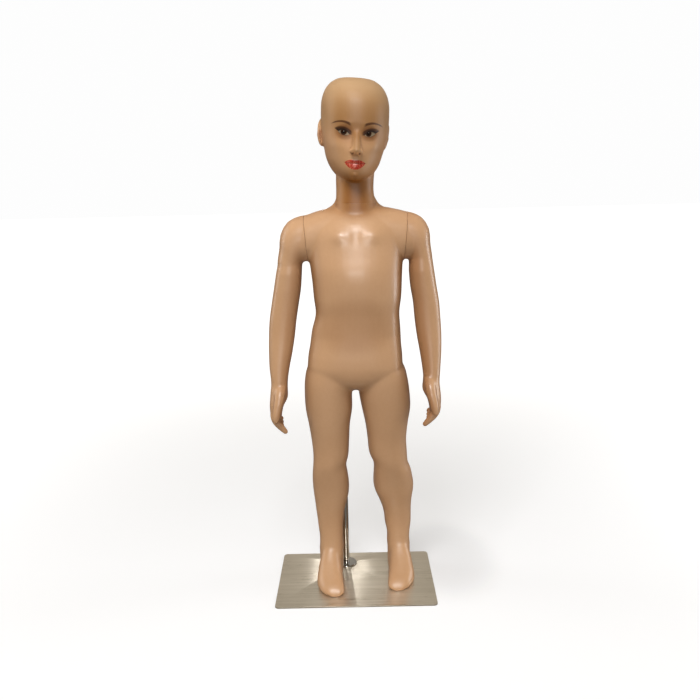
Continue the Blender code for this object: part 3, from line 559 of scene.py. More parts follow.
def settle_on_sole(skin):
    """Nothing hangs below the soles."""
    skin.co[:, 2] = np.maximum(skin.co[:, 2], FOOT_BOTTOM)


def hip_power(z):
    """The trunk's section grows boxier where it widens into the two thighs."""
    return 2.15 + 0.75 * float(np.clip((HIP_BOX_TOP - z) / (HIP_BOX_TOP - HIP_BOX_LOW), 0, 1))


def trunk_parts():
    return [level_loft("torso", TORSO_ROWS, power=hip_power), shoulder_bar(),
            level_loft("neck", NECK_ROWS, 5.0), level_loft("trapezius", TRAPEZIUS_ROWS, 4.0)]


CREASES = [
    # middle, radii, how much of the smoothing: crotch, groins, neck, armpits, shoulders, ankles
    ((8, 20, 458), (60, 90, 40), 1), ((-50, 10, 484), (70, 90, 50), 1),
    ((72, 10, 484), (70, 90, 50), 1), ((16, 10, 832), (90, 90, 30), 0.3),
    ((-82, 10, 740), (34, 70, 60), 1), ((112, 10, 745), (34, 70, 60), 1),
    ((-92, 10, 815), (44, 60, 30), 1), ((124, 10, 817), (44, 60, 30), 1),
    ((-55, 0, 66), (40, 44, 36), 1), ((101, 20, 66), (40, 44, 36), 1),
]


def crease_weight(skin):
    """Where limbs meet the trunk the skin is smoothed most."""
    weight = np.zeros(len(skin.co))
    for centre, radii, most in CREASES:
        weight = np.maximum(weight, np.clip(skin.near(centre, radii) * 1.3, 0, 1) * most)
    return weight


# ---------------------------------------------------------------- splitting at the joint planes

def faces_beyond(bm, point, axis):
    """Indices of the connected faces past the plane, from the one nearest the joint."""
    beyond = [(f.calc_center_median() - point).dot(axis) > 0 for f in bm.faces]
    seed = min((f for f in bm.faces if beyond[f.index]),
               key=lambda f: (f.calc_center_median() - point).length)
    found = {seed.index}
    front = [seed]
    while front:
        face = front.pop()
        for edge in face.edges:
            for other in edge.link_faces:
                if beyond[other.index] and other.index not in found:
                    found.add(other.index)
                    front.append(other)
    return found


def split_off(obj, name, point, axis, lip=SEAM_LIP, gap=SEAM_GAP):
    """Cut obj at a plane; the piece the axis points to becomes a new object, both capped."""
    bm = bmesh.new()
    bm.from_mesh(obj.data)
    geometry = list(bm.verts) + list(bm.edges) + list(bm.faces)
    bmesh.ops.bisect_plane(bm, geom=geometry, dist=1e-6, plane_co=point, plane_no=axis)
    bm.faces.ensure_lookup_table()
    bm.faces.index_update()
    found = faces_beyond(bm, point, axis)
    part = bm.copy()
    part.faces.ensure_lookup_table()
    part.faces.index_update()
    bmesh.ops.delete(part, geom=[f for f in part.faces if f.index not in found],
                     context="FACES")
    bmesh.ops.delete(bm, geom=[f for f in bm.faces if f.index in found], context="FACES")
    for half, inward, shift in ((bm, -axis, Vector((0, 0, 0))), (part, axis, axis * gap)):
        close_seam(half, inward, lip, shift)
    part_obj = object_from_bmesh(name, part)
    bm.to_mesh(obj.data)
    bm.free()
    return part_obj


def close_seam(bm, inward, lip, shift):
    """Cap an open seam with a flat face and a small broken edge."""
    rim = [e for e in bm.edges if e.is_boundary]
    rim_verts = {v for e in rim for v in e.verts}
    middle = sum((v.co for v in rim_verts), Vector()) / len(rim_verts)
    made = bmesh.ops.extrude_edge_only(bm, edges=rim)["geom"]
    new_verts = [g for g in made if isinstance(g, bmesh.types.BMVert)]
    for vert in rim_verts:
        vert.co += shift + inward * lip
    for vert in new_verts:
        towards = middle - vert.co
        towards -= inward * towards.dot(inward)
        vert.co += shift + towards.normalized() * lip
    rim = [e for e in bm.edges if e.is_boundary]
    bmesh.ops.holes_fill(bm, edges=rim, sides=0)
    bmesh.ops.recalc_face_normals(bm, faces=bm.faces)


def cylinder(name, radius, low, high, centre, axis, segments=64):
    bm = bmesh.new()
    turn = Vector(axis).to_track_quat("Z", "Y").to_matrix().to_4x4()
    place = Matrix.Translation(centre) @ turn @ Matrix.Translation((0, 0, (low + high) / 2))
    bmesh.ops.create_cone(bm, cap_ends=True, segments=segments, radius1=radius, radius2=radius,
                          depth=high - low, matrix=place)
    return object_from_bmesh(name, bm)


def one_tool(parts):
    tool = parts[0]
    for part in parts[1:]:
        combine(tool, part, "UNION")
    return tool


def ring_seat(obj, centre, axis, scale):
    """Room for a bayonet ring in the body."""
    parts = [cylinder("cut", FITTING_RADIUS * scale, -FITTING_DEPTH, 0.01, centre, axis),
             cylinder("cut", RING_BORE * scale, -0.026, 0.005, centre, axis)]
    parts += screw_room(centre, axis, scale, -0.0085, -0.002)
    combine(obj, one_tool(parts), "DIFFERENCE")


def plug_seat(obj, centre, axis, scale):
    """Room for a bayonet plug in an arm or the head."""
    parts = [cylinder("cut", FITTING_RADIUS * scale, -0.01, PLUG_FACE + FITTING_DEPTH, centre,
                      axis),
             cylinder("cut", POST_ROOM * scale, 0, 0.02, centre, axis)]
    parts += screw_room(centre, axis, scale, 0.002, 0.0085)
    combine(obj, one_tool(parts), "DIFFERENCE")


def screw_room(centre, axis, scale, low, high):
    turn = Vector(axis).to_track_quat("Z", "Y").to_matrix()
    holes = []
    for i in range(3):
        angle = math.radians(90 + 120 * i)
        offset = turn @ Vector((math.cos(angle), math.sin(angle), 0)) * SCREW_CIRCLE * scale
        holes.append(cylinder("cut", SCREW_ROOM, low, high, centre + offset, axis, 16))
    return holes


# ---------------------------------------------------------------- head

HEAD_CENTRE = np.array([18.8, 3.0, 984.0])
HEAD_TURN = (Matrix.Rotation(math.radians(3.2), 3, "Z")
             @ Matrix.Rotation(math.radians(5.1), 3, "Y"))
# Rows are in the head's own frame: x to its left, -y forward, z up, from between the eyes
HEAD_ROWS = [
    # z, half width, front y, back y
    (111.3, 11, -6, 20), (109.2, 31, -30, 42), (104, 45.5, -48, 58), (95.5, 55.8, -62, 72),
    (83, 63.7, -74, 85), (66, 68.8, -82, 93), (44, 70, -85.5, 97), (22, 69.5, -84.5, 96),
    (2, 67.8, -80.5, 91), (-16, 64.6, -79.5, 83), (-30, 60.8, -79.5, 75),
    (-44, 57.2, -78.5, 67), (-56, 52.8, -77.5, 61), (-66, 47.3, -76, 57),
    (-76, 39.6, -73.5, 52), (-84, 30.5, -69, 44), (-90, 20, -62, 30), (-93, 10, -50, 10),
]
EYE_X = 24.4
# Ear middle from the head's middle (m) and the angle it stands off (degrees)
EAR_RIGHT = (0.0668, 33)
EAR_LEFT = (0.0645, 12)
EAR_SPLAY = 7.0
EAR_LEAN = -10.0


def to_world(points):
    return np.asarray(points, float) @ np.array(HEAD_TURN).T + HEAD_CENTRE


def to_head(points):
    return (np.asarray(points, float) - HEAD_CENTRE) @ np.array(HEAD_TURN)


def place_in_head(obj):
    """Move an object built in the head's own frame into the world."""
    turn = HEAD_TURN.to_4x4()
    obj.data.transform(Matrix.Translation(Vector(HEAD_CENTRE * MM)) @ turn)
    return obj


def skull():
    """Closed cranium and jaw; its rows slide sideways because the moulding is not symmetrical."""
    rings = []
    for z, half, front, back in smooth_table(HEAD_ROWS, 4.0):
        middle = 8.0
        jaw = np.clip((-30 - z) / 60, 0, 1)
        slide = -0.05 * max(z, 0) + 0.05 * max(-40 - z, 0)
        across, along = outline(half, middle - front, back - middle, 2.2, 64, 2.15 - 0.45 * jaw)
        rings.append(np.stack([slide + across, middle + along, np.full_like(across, z)], 1))
    return place_in_head(loft("skull", rings))


def nose():
    rows = [(20, 0, 7.6, -76, -68), (10, 0, 7.4, -79.5, -68), (2, 0, 7.2, -82.5, -68),
            (-7, 0, 7.4, -87, -70), (-19, 0, 8.4, -93, -70), (-29, 0, 9.8, -98, -70),
            (-35, 0, 10.3, -100, -70), (-39.5, 0, 9.2, -97.5, -70), (-43, 0, 6.5, -91, -70)]
    pieces = [place_in_head(level_loft("nose", rows, 2.0, 2.0, 1.95))]
    for side in (-1, 1):
        bm = bmesh.new()
        place = (Matrix.Translation((side * 0.0086, -0.0865, -0.0355))
                 @ Matrix.Diagonal((0.0048, 0.0080, 0.0062, 1)))
        bmesh.ops.create_uvsphere(bm, u_segments=20, v_segments=12, radius=1, matrix=place)
        pieces.append(place_in_head(object_from_bmesh("ala", bm)))
    return pieces


def ear(side):
    """A shell-like plate that leans back; the right one stands off, the left lies flat."""
    out, flare_angle = (EAR_RIGHT if side < 0 else EAR_LEFT)
    bm = bmesh.new()
    lean = Matrix.Rotation(math.radians(EAR_LEAN), 4, "X")
    flare = Matrix.Rotation(side * math.radians(flare_angle), 4, "Z")
    splay = Matrix.Rotation(side * math.radians(EAR_SPLAY), 4, "Y")
    place = (Matrix.Translation((side * out, 0.020, 0.0035)) @ splay @ flare @ lean
             @ Matrix.Diagonal((0.0056, 0.0175, 0.0288, 1)))
    bmesh.ops.create_uvsphere(bm, u_segments=32, v_segments=20, radius=1, matrix=place)
    return place_in_head(object_from_bmesh("ear", bm))


IN, OUT = (0, 1, 0), (0, -1, 0)
FACE_PRESSES = [
    # out from the middle, y, z, three radii, push and, where it isn't outwards, a direction
    (26, -84, -1, 17, 16, 12, 4.2, IN), (15, -86, 1, 7, 14, 10, 1.6, IN),
    (EYE_X, -80, 0.5, 12, 9, 8.5, 3.0, OUT), (27, -84, 17, 20, 12, 6.5, 1.2, OUT),
    (38, -68, -24, 17, 20, 15, 2.0), (52, -40, -40, 16, 26, 16, -0.8),
    (60, -30, 30, 14, 22, 20, -1.2), (20, -82, -47, 9, 14, 9, -0.8),
    (15, -84, -41, 5, 14, 9, 0.6), (5.6, -96, -42.5, 2.8, 4.2, 3.4, 4.0, (0, 0.35, 0.94)),
    (13.5, -86, -33, 2.4, 8, 6, -0.8), (6.5, -84, -54, 7, 12, 3.0, 1.7, OUT),
    (8, -84, -65.5, 8.5, 12, 4.2, 1.8, OUT), (21.5, -80, -57.5, 3, 12, 3, -1.6),
]
LIP_LINE_STEPS = (-16, -10.5, -5, 0, 5, 10.5, 16)


def press_face(skin):
    """Soft modelling in the head's own frame."""
    skin.press_pairs(FACE_PRESSES)
    skin.press((0, -84, -66), (8, 12, 4.5), 1.4, OUT)
    skin.press((0, -84, -53.5), (3.6, 12, 2.8), 0.7, OUT)
    skin.press((0, -86, -46.5), (2.6, 12, 4.5), -1.2)
    for offset in LIP_LINE_STEPS:
        drop = -59.1 + 0.006 * offset * offset
        skin.press((offset, -84, drop), (4.2, 12, 1.5), 1.5, IN)
    skin.press((0, -80, -75.5), (14, 12, 4), -1.3)
    skin.press((0, -74, -86), (20, 16, 11), 1.6, (0, -1, -0.15))
    skin.press((0, -84, 60), (50, 20, 30), 1.0)


def press_ears(skin):
    """Bowl, rim and lobe on the outer side of each ear."""
    for side, (out, _) in ((-1, EAR_RIGHT), (1, EAR_LEFT)):
        middle = out / MM
        outside = np.clip((skin.co[:, 0] * side - middle) / 2.0, 0, 1)
        for centre, radii, push in (((6, 15, 4), (12, 7.5, 11), -3.0),
                                    ((9, 23, 12), (12, 4, 16), -1.2),
                                    ((5, 9, -2), (8, 3, 5), 1.2)):
            place = (side * (middle + centre[0]), centre[1], centre[2])
            weight = skin.near(place, radii) * outside
            skin.co[:, 0] += weight * push * side


def make_head():
    parts = trunk_parts() + [skull()] + nose() + [ear(-1), ear(1)]
    head = fuse("head_skin", parts, VOXEL_HEAD)
    skin = Skin(head)
    # the same rounds as the arms and body, scaled by voxel size, so that the seams meet
    creases = crease_weight(skin)
    skin.relax(51, creases, keep_size=False)
    skin.relax(160, creases)
    skin.co = to_head(skin.co)
    skin.relax(6)
    jaw = skin.near((0, 6, -86), (60, 70, 22))
    nose_side = skin.near((0, -86, -15), (22, 16, 36))
    ears = np.maximum(skin.near((-66, 16, 4), (10, 26, 36)), skin.near((66, 16, 4), (10, 26, 36)))
    skin.relax(60, np.clip(jaw * 1.3, 0, 1))
    skin.relax(16, np.clip(nose_side * 1.3, 0, 1), keep_size=False)
    skin.relax(8, ears, keep_size=False)
    painted = skin.co.copy()
    press_face(skin)
    press_ears(skin)
    skin.relax(3)
    skin.co = to_world(skin.co)
    skin.store()
    store_vector(head.data, "face", painted)
    split = split_off(head, "head_upper", NECK, NECK_AXIS, NECK_LIP, NECK_GAP)
    remove(head)
    split.name = "head_skin"
    plug_seat(split, NECK, NECK_AXIS, NECK_SCALE)
    return split


def store_vector(mesh, name, values):
    attribute = mesh.attributes.new(name, "FLOAT_VECTOR", "POINT")
    attribute.data.foreach_set("vector", np.ascontiguousarray(values, np.float32).ravel())


# ---------------------------------------------------------------- body and arms

def make_body():
    parts = trunk_parts() + [arm_limb(-1), arm_limb(1)]
    parts += [level_loft("leg", limb_rows(RIGHT_LEG, LEG_DEPTHS)),
              level_loft("leg", limb_rows(LEFT_LEG, LEG_DEPTHS, LEFT_FOOT_BACK)),
              foot(-55, -1, 0), foot(101, 1, LEFT_FOOT_BACK)]
    body = fuse("body_skin", parts, VOXEL_BODY)
    skin = Skin(body)
    # away with the remesh's fine steps, then fillets where the limbs meet
    skin.relax(24)
    creases = crease_weight(skin)
    skin.relax(22, creases, keep_size=False)
    skin.relax(50, creases)
    press_torso(skin)
    press_legs(skin)
    skin.relax(6)
    settle_on_sole(skin)
    skin.store()
    remove(split_off(body, "right_part", RIGHT_SHOULDER, RIGHT_AXIS))
    remove(split_off(body, "left_part", LEFT_SHOULDER, LEFT_AXIS))
    remove(split_off(body, "neck_part", NECK, NECK_AXIS, NECK_LIP, NECK_GAP))
    for centre, axis, scale in ((RIGHT_SHOULDER, RIGHT_AXIS, 1.0),
                                (LEFT_SHOULDER, LEFT_AXIS, 1.0),
                                (NECK, NECK_AXIS, NECK_SCALE)):
        ring_seat(body, centre, axis, scale)
    combine(body, cylinder("cut", SOCKET_ROOM, -0.1, 0.0065, rod_path()[-1], PEG_AXIS, 48),
            "DIFFERENCE")
    return body


HAND_TOP = 474.0


def make_arm(name, side, wrist, lift, reach):
    parts = trunk_parts() + [arm_limb(side)] + hand(side, wrist, lift, reach)
    arm = fuse(name, parts, VOXEL_ARM)
    skin = Skin(arm)
    skin.relax(8)
    creases = crease_weight(skin)
    skin.relax(35, creases, keep_size=False)
    skin.relax(108, creases)
    # the hand keeps more of its detail than the limb
    hand_zone = np.clip((HAND_TOP + lift - skin.co[:, 2]) / 10, 0, 1)
    skin.relax(10, hand_zone)
    skin.relax(50, 1 - hand_zone)
    palm = skin.near((wrist + side * 3, -16, 436 + lift), (44, 56, 40))
    skin.relax(24, palm, keep_size=False)
    centre = RIGHT_SHOULDER if side < 0 else LEFT_SHOULDER
    axis = RIGHT_AXIS if side < 0 else LEFT_AXIS
    skin.store()
    part = split_off(arm, name + "_part", centre, axis)
    remove(arm)
    part.name = name
    plug_seat(part, centre, axis, 1.0)
    return part


# ---------------------------------------------------------------- base plate and rod

def rod_path(start=0.0):
    """Centre line of the rod in metres: upright, one bend, then the straight peg."""
    lean = Vector((PEG_AXIS.x, PEG_AXIS.y, 0)).normalized()
    bend = math.acos(PEG_AXIS.z)
    corner = Vector((ROD_FOOT.x, ROD_FOOT.y, ROD_BEND_START))
    points = [Vector((ROD_FOOT.x, ROD_FOOT.y, FLANGE_LOW.z + start))]
    steps = 12
    for i in range(steps + 1):
        angle = bend * i / steps
        points.append(corner + lean * ROD_BEND_RADIUS * (1 - math.cos(angle))
                      + Vector((0, 0, ROD_BEND_RADIUS * math.sin(angle))))
    points.append(points[-1] + PEG_AXIS * PEG_LENGTH)
    return points


def sweep(name, points, radius, segments=48):
    curve = bpy.data.curves.new(name, "CURVE")
    curve.dimensions = "3D"
    curve.bevel_depth = radius
    curve.bevel_resolution = segments // 4 - 1
    curve.use_fill_caps = True
    spline = curve.splines.new("POLY")
    spline.points.add(len(points) - 1)
    for point, co in zip(spline.points, points):
        point.co = (*co, 1.0)
    guide = bpy.data.objects.new(name, curve)
    bpy.context.scene.collection.objects.link(guide)
    graph = bpy.context.evaluated_depsgraph_get()
    graph.update()
    mesh = bpy.data.meshes.new_from_object(guide.evaluated_get(graph))
    remove(guide)
    bm = bmesh.new()
    bm.from_mesh(mesh)
    bmesh.ops.remove_doubles(bm, verts=bm.verts, dist=1e-5)
    bmesh.ops.recalc_face_normals(bm, faces=bm.faces)
    bpy.data.meshes.remove(mesh)
    return object_from_bmesh(name, bm)


def make_rod():
    rod = sweep("chrome_rod", rod_path(), ROD_RADIUS)
    path = rod_path(-0.01)
    path[-1] = path[-1] + PEG_AXIS * 0.01
    return combine(rod, sweep("cut", path, ROD_BORE), "DIFFERENCE")


def turned(name, profile, centre, axis=(0, 0, 1), segments=96):
    """Closed ring or disc turned from (radius, height) points in metres."""
    turn = Vector(axis).to_track_quat("Z", "Y").to_matrix().to_4x4()
    bm = bmesh.new()
    rings = []
    for i in range(segments):
        angle = 2 * math.pi * i / segments
        rings.append([bm.verts.new((r * math.cos(angle), r * math.sin(angle), h))
                      for r, h in profile])
    count = len(profile)
    for i in range(segments):
        here, there = rings[i], rings[(i + 1) % segments]
        for k in range(count):
            m = (k + 1) % count
            bm.faces.new((here[k], there[k], there[m], here[m]))
    bmesh.ops.remove_doubles(bm, verts=bm.verts, dist=1e-7)
    bmesh.ops.recalc_face_normals(bm, faces=bm.faces)
    bm.transform(Matrix.Translation(centre) @ turn)
    return object_from_bmesh(name, bm)


def arc(centre_r, centre_h, radius, start, stop, steps=5):
    points = []
    for i in range(steps + 1):
        angle = math.radians(start + (stop - start) * i / steps)
        points.append((centre_r + radius * math.cos(angle), centre_h + radius * math.sin(angle)))
    return points


def make_flange():
    high = FLANGE_HIGH.z - FLANGE_LOW.z
    outer = (FLANGE_HIGH.x - FLANGE_LOW.x) / 2
    bore = ROD_RADIUS + 0.0003
    profile = [(bore, 0), (outer, 0)]
    profile += arc(outer - FLANGE_ROUND, high - FLANGE_ROUND, FLANGE_ROUND, 0, 90)
    profile += [(bore + 0.0006, high), (bore, high - 0.0005)]
    return turned("chrome_flange", profile, ROD_FOOT)


def make_plate():
    """Sheet with rounded corners, finely broken edges and a countersunk hole."""
    size = PLATE_HIGH - PLATE_LOW
    bm = bmesh.new()
    middle = (PLATE_HIGH + PLATE_LOW) / 2
    bmesh.ops.create_cube(bm, size=1.0, matrix=Matrix.Translation(middle)
                          @ Matrix.Diagonal((*size, 1.0)))
    upright = [e for e in bm.edges
               if abs(e.verts[0].co.z - e.verts[1].co.z) > size.z / 2]
    bmesh.ops.bevel(bm, geom=upright, offset=PLATE_CORNER, segments=12, affect="EDGES",
                    profile=0.5)
    plate = object_from_bmesh("steel_plate", bm)
    cut = [(0.0, -0.002), (BOLT_HEAD_ROOM, -0.002), (BOLT_HEAD_ROOM, BOLT_HEAD_LOW),
           (BOLT_ROOM, BOLT_HEAD_LOW + BOLT_HEAD_RISE), (BOLT_ROOM, 0.01), (0.0, 0.01)]
    centre = Vector((ROD_FOOT.x, ROD_FOOT.y, 0))
    combine(plate, turned("cut", cut, centre, segments=48), "DIFFERENCE")
    edges = plate.modifiers.new("broken_edges", "BEVEL")
    edges.width = PLATE_EDGE
    edges.segments = 3
    edges.limit_method = "ANGLE"
    edges.angle_limit = math.radians(50)
    return apply_modifiers(plate)


# ---------------------------------------------------------------- materials

class Expr:
    """A shader value that ordinary arithmetic turns into Math nodes."""

    def __init__(self, graph, socket):
        self.graph = graph
        self.socket = socket

    def math(self, operation, *others):
        node = self.graph.add("ShaderNodeMath", operation=operation)
        for slot, value in enumerate((self, *others)):
            self.graph.feed(node.inputs[slot], value)
        return Expr(self.graph, node.outputs[0])

    def __add__(self, other):
        return self.math("ADD", other)

    def __sub__(self, other):
        return self.math("SUBTRACT", other)

    def __mul__(self, other):
        return self.math("MULTIPLY", other)

    def __truediv__(self, other):
        return self.math("DIVIDE", other)

    def __pow__(self, other):
        return self.math("POWER", other)

    def __abs__(self):
        return self.math("ABSOLUTE")

    def most(self, other):
        return self.math("MAXIMUM", other)

    def ramp(self, low, high, low_to=0.0, high_to=1.0):
        """Smooth step from low_to at low to high_to at high."""
        node = self.graph.add("ShaderNodeMapRange", interpolation_type="SMOOTHSTEP")
        for slot, value in enumerate((self, low, high, low_to, high_to)):
            self.graph.feed(node.inputs[slot], value)
        return Expr(self.graph, node.outputs[0])


class Graph:
    """One procedural material with a Principled surface."""

    def __init__(self, name):
        self.material = bpy.data.materials.new(name)
        self.material.use_nodes = True
        self.tree = self.material.node_tree
        self.tree.nodes.clear()
        self.output = self.add("ShaderNodeOutputMaterial")
        self.surface = self.add("ShaderNodeBsdfPrincipled")
        self.tree.links.new(self.surface.outputs[0], self.output.inputs["Surface"])

    def add(self, kind, **settings):
        node = self.tree.nodes.new(kind)
        for key, value in settings.items():
            setattr(node, key, value)
        return node

    def feed(self, socket, value):
        if isinstance(value, Expr):
            self.tree.links.new(value.socket, socket)
        elif isinstance(value, bpy.types.NodeSocket):
            self.tree.links.new(value, socket)
        else:
            socket.default_value = value

    def set(self, **values):
        """Principled inputs by name, with _ for a space."""
        for key, value in values.items():
            self.feed(self.surface.inputs[key.replace("_", " ")], value)

    def place(self):
        return self.add("ShaderNodeTexCoord").outputs["Object"]

    def split(self, vector):
        node = self.add("ShaderNodeSeparateXYZ")
        self.feed(node.inputs[0], vector)
        return [Expr(self, out) for out in node.outputs]

    def join(self, x, y, z):
        node = self.add("ShaderNodeCombineXYZ")
        for slot, value in enumerate((x, y, z)):
            self.feed(node.inputs[slot], value)
        return node.outputs[0]

    def stretch(self, vector, scale):
        node = self.add("ShaderNodeMapping")
        self.feed(node.inputs["Vector"], vector)
        node.inputs["Scale"].default_value = scale
        return node.outputs[0]

    def noise(self, vector, scale, detail=3.0, roughness=0.5):
        node = self.add("ShaderNodeTexNoise")
        self.feed(node.inputs["Vector"], vector)
        node.inputs["Scale"].default_value = scale
        node.inputs["Detail"].default_value = detail
        node.inputs["Roughness"].default_value = roughness
        return Expr(self, node.outputs["Fac"])

    def mix(self, amount, one, two):
        node = self.add("ShaderNodeMix", data_type="RGBA")
        self.feed(node.inputs["Factor"], amount)
        for slot, value in ((6, one), (7, two)):
            if isinstance(value, tuple):
                value = (*value[:3], 1.0)
            self.feed(node.inputs[slot], value)
        return node.outputs[2]

    def bump(self, height, distance, strength=1.0, before=None):
        node = self.add("ShaderNodeBump")
        self.feed(node.inputs["Height"], height)
        node.inputs["Distance"].default_value = distance
        node.inputs["Strength"].default_value = strength
        if before is not None:
            self.feed(node.inputs["Normal"], before)
        return node.outputs["Normal"]


def rgb(red, green, blue):
    """Linear colour from display values of 0 to 255."""
    out = []
    for value in (red, green, blue):
        v = value / 255
        out.append(v / 12.92 if v <= 0.04045 else ((v + 0.055) / 1.055) ** 2.4)
    return tuple(out)


SKIN_TAN = rgb(207, 165, 127)
SKIN_DEEP = rgb(191, 147, 107)
SKIN_SILHOUETTE_SHADE = rgb(168, 108, 58)


def skin_base(graph):
    """Shared plastic: colour, roughness and orange peel; returns the colour, roughness, bump."""
    place = graph.place()
    cloud = graph.noise(place, 7.0, 2.0).ramp(0.3, 0.7)
    mottle = graph.noise(place, 160.0, 3.0).ramp(0.35, 0.65)
    tone = graph.mix(cloud * 0.35, SKIN_TAN, SKIN_DEEP)
    tone = graph.mix(mottle * 0.12, tone, SKIN_DEEP)
    smears = graph.noise(graph.stretch(place, (1.0, 1.0, 0.35)), 26.0, 3.0)
    rough = smears.ramp(0.3, 0.7, 0.31, 0.41)
    peel = graph.noise(place, 420.0, 2.0)
    waves = graph.noise(place, 34.0, 1.0)
    normal = graph.bump(peel, 0.00025, 0.35)
    normal = graph.bump(waves, 0.0012, 0.25, normal)
    # painted shade: the colour darkens and deepens where the skin turns away from the camera
    facing = Expr(graph, graph.add("ShaderNodeLayerWeight").outputs["Facing"])
    tone = graph.mix(facing.ramp(0.35, 0.95) * 0.36, tone, SKIN_SILHOUETTE_SHADE)
    return tone, rough, normal


def neck_painted_shade(graph, tone, place):
    """Painted shade round the neck, where the chin's shadow falls, deepest in front; head and
    body share it across their seam.
    """
    x, y, z = graph.split(place)
    from_neck = (((x - 0.017) / 0.045) ** 2.0 + ((y - 0.007) / 0.0455) ** 2.0) ** 0.5
    rise = z.ramp(0.806, 0.842) * z.ramp(0.912, 0.888) * from_neck.ramp(2.0, 1.05)
    middle = (abs(x - 0.019) / 0.046).ramp(1.0, 0.15) * y.ramp(0.03, -0.02)
    tone = graph.mix(rise * 0.4, tone, rgb(150, 98, 36))
    return graph.mix(rise * middle * 0.82, tone, rgb(136, 80, 8)), rise


def skin_material():
    graph = Graph("skin_plastic")
    tone, rough, normal = skin_base(graph)
    place = graph.place()
    tone, rise = neck_painted_shade(graph, tone, place)
    rough = rough + rise * 0.12
    x, y, z = graph.split(place)
    # painted shade: the trunk's sides, where the skin faces sideways, are darker
    sideways = graph.split(graph.add("ShaderNodeNewGeometry").outputs["Normal"])[0]
    flank_shade = abs(sideways).ramp(0.5, 1.0) * z.ramp(0.56, 0.66)
    tone = graph.mix(flank_shade * 0.38, tone, rgb(142, 86, 36))
    # painted shade over the abdomen, which turns a little downwards below the belly
    abdomen_shade = (((x - 0.012) / 0.098) ** 2.0 + ((z - 0.598) / 0.076) ** 2.0).ramp(1.0, 0.1)
    tone = graph.mix(abdomen_shade * y.ramp(0.0, -0.04) * 0.38, tone, rgb(160, 112, 70))
    graph.set(Base_Color=tone, Roughness=rough, Normal=normal, IOR=1.5,
              Specular_IOR_Level=rise * -0.14 + 0.5, Coat_Weight=rise * -0.1 + 0.12,
              Coat_Roughness=0.24)
    return graph.material


def arm_material(name, side, amount):
    """The same plastic, with painted shade on the side towards the body."""
    graph = Graph(name)
    tone, rough, normal = skin_base(graph)
    sideways = graph.split(graph.add("ShaderNodeNewGeometry").outputs["Normal"])[0]
    # painted shade where the arm faces the body
    inner = (sideways * side).ramp(0.45, -0.5)
    tone = graph.mix(inner * amount, tone, rgb(140, 82, 30))
    graph.set(Base_Color=tone, Roughness=rough, Normal=normal, IOR=1.5,
              Coat_Weight=0.12, Coat_Roughness=0.24)
    return graph.material


# Distances in mm from the face's middle line
EYE_INNER, EYE_OUTER = 14.8, 37.4
LIP_CORNER = 21.3
IRIS_RADIUS = 6.0
PUPIL_RADIUS = 2.9


class FacePaint:
    """Layers of paint on the head's plastic, placed in the head's own frame in mm."""

    def __init__(self, graph):
        self.graph = graph
        self.tone, self.rough, self.normal = skin_base(graph)
        self.place = graph.add("ShaderNodeAttribute", attribute_name="face").outputs["Vector"]
        self.x, self.y, self.z = graph.split(self.place)
        self.across = abs(self.x)
        self.front = self.y.ramp(-20.0, -40.0)
        self.hair = graph.noise(graph.stretch(self.place, (1.0, 0.05, 0.5)), 1.6, 3.0)

    def over(self, amount, colour, shine, where=None):
        """One more layer: how much of it, its colour and its roughness."""
        amount = (self.front if where is None else where) * amount
        self.tone = self.graph.mix(amount, self.tone, colour)
        self.rough = self.rough + (self.rough * -1.0 + shine) * amount


def tan_and_painted_shade(paint):
    """Tan, paler at the crown, with painted shade that deepens from the forehead down as light
    from above leaves it, between the eyes, on the chin and round the neck.
    """
    x, y, z, across, over = paint.x, paint.y, paint.z, paint.across, paint.over
    paint.rough = paint.rough + 0.1
    over(0.16, rgb(176, 120, 40), 0.5)
    over(z.ramp(-12.0, 30.0) * 0.44, rgb(146, 112, 62), 0.5, y.ramp(120.0, 60.0))
    over((across / 12.0).ramp(1.0, 0.3) * z.ramp(4.0, -10.0) * z.ramp(-44.0, -36.0) * 0.4,
         rgb(128, 96, 52), 0.5)
    over(z.ramp(40.0, 95.0) * 0.35, rgb(202, 174, 140), 0.45, y.ramp(120.0, 60.0))
    # painted shade: darker from the crown down, less towards the sides
    deepen = z.ramp(104.0, 10.0) * across.ramp(66.0, 34.0, 0.2, 1.0)
    deepen = deepen * z.ramp(-4.0, -28.0, 1.0, 0.28)
    over(deepen * 0.58, rgb(142, 92, 36), 0.5, y.ramp(75.0, 20.0))
    # painted shade between the eyes
    bridge = ((x / 22) ** 2.0 + ((z - 4) / 20) ** 2.0).ramp(1.0, 0.1)
    over(bridge * 0.16, rgb(122, 74, 28), 0.5)
    # painted shade on the chin, which faces down
    chin = (across / 34.0).ramp(1.0, 0.1) * z.ramp(-62.0, -84.0)
    over(chin * 0.7, rgb(132, 80, 16), 0.5)
    # painted shade round the neck, shared with the body
    paint.tone, _ = neck_painted_shade(paint.graph, paint.tone, paint.graph.place())


def paint_brows(paint):
    """Shading round the eyes, then each brow as an arch of fine strokes."""
    z, across, hair, over = paint.z, paint.across, paint.hair, paint.over
    hollow = (((across - 25) / 21) ** 2 + ((z - 1) / 16) ** 2).ramp(1.0, 0.1)
    over(hollow * 0.68, rgb(112, 62, 18), 0.45)
    below = (((across - 23) / 15) ** 2 + ((z + 9.5) / 7) ** 2).ramp(1.0, 0.2)
    over(below * 0.35, rgb(104, 62, 32), 0.45)
    share = ((across - 12.5) / 36.5)
    arch = share * 20.8 - share * share * 17.6 + 13.3
    width = share.ramp(0.0, 1.0, 3.1, 1.5)
    brow = (abs(z - arch) / width).ramp(1.25, 0.45)
    ends = across.ramp(11.0, 17.5) * across.ramp(53.0, 45.0)
    over(brow * ends * hair.ramp(0.2, 0.6, 0.75, 1.0), rgb(78, 42, 12), 0.45)


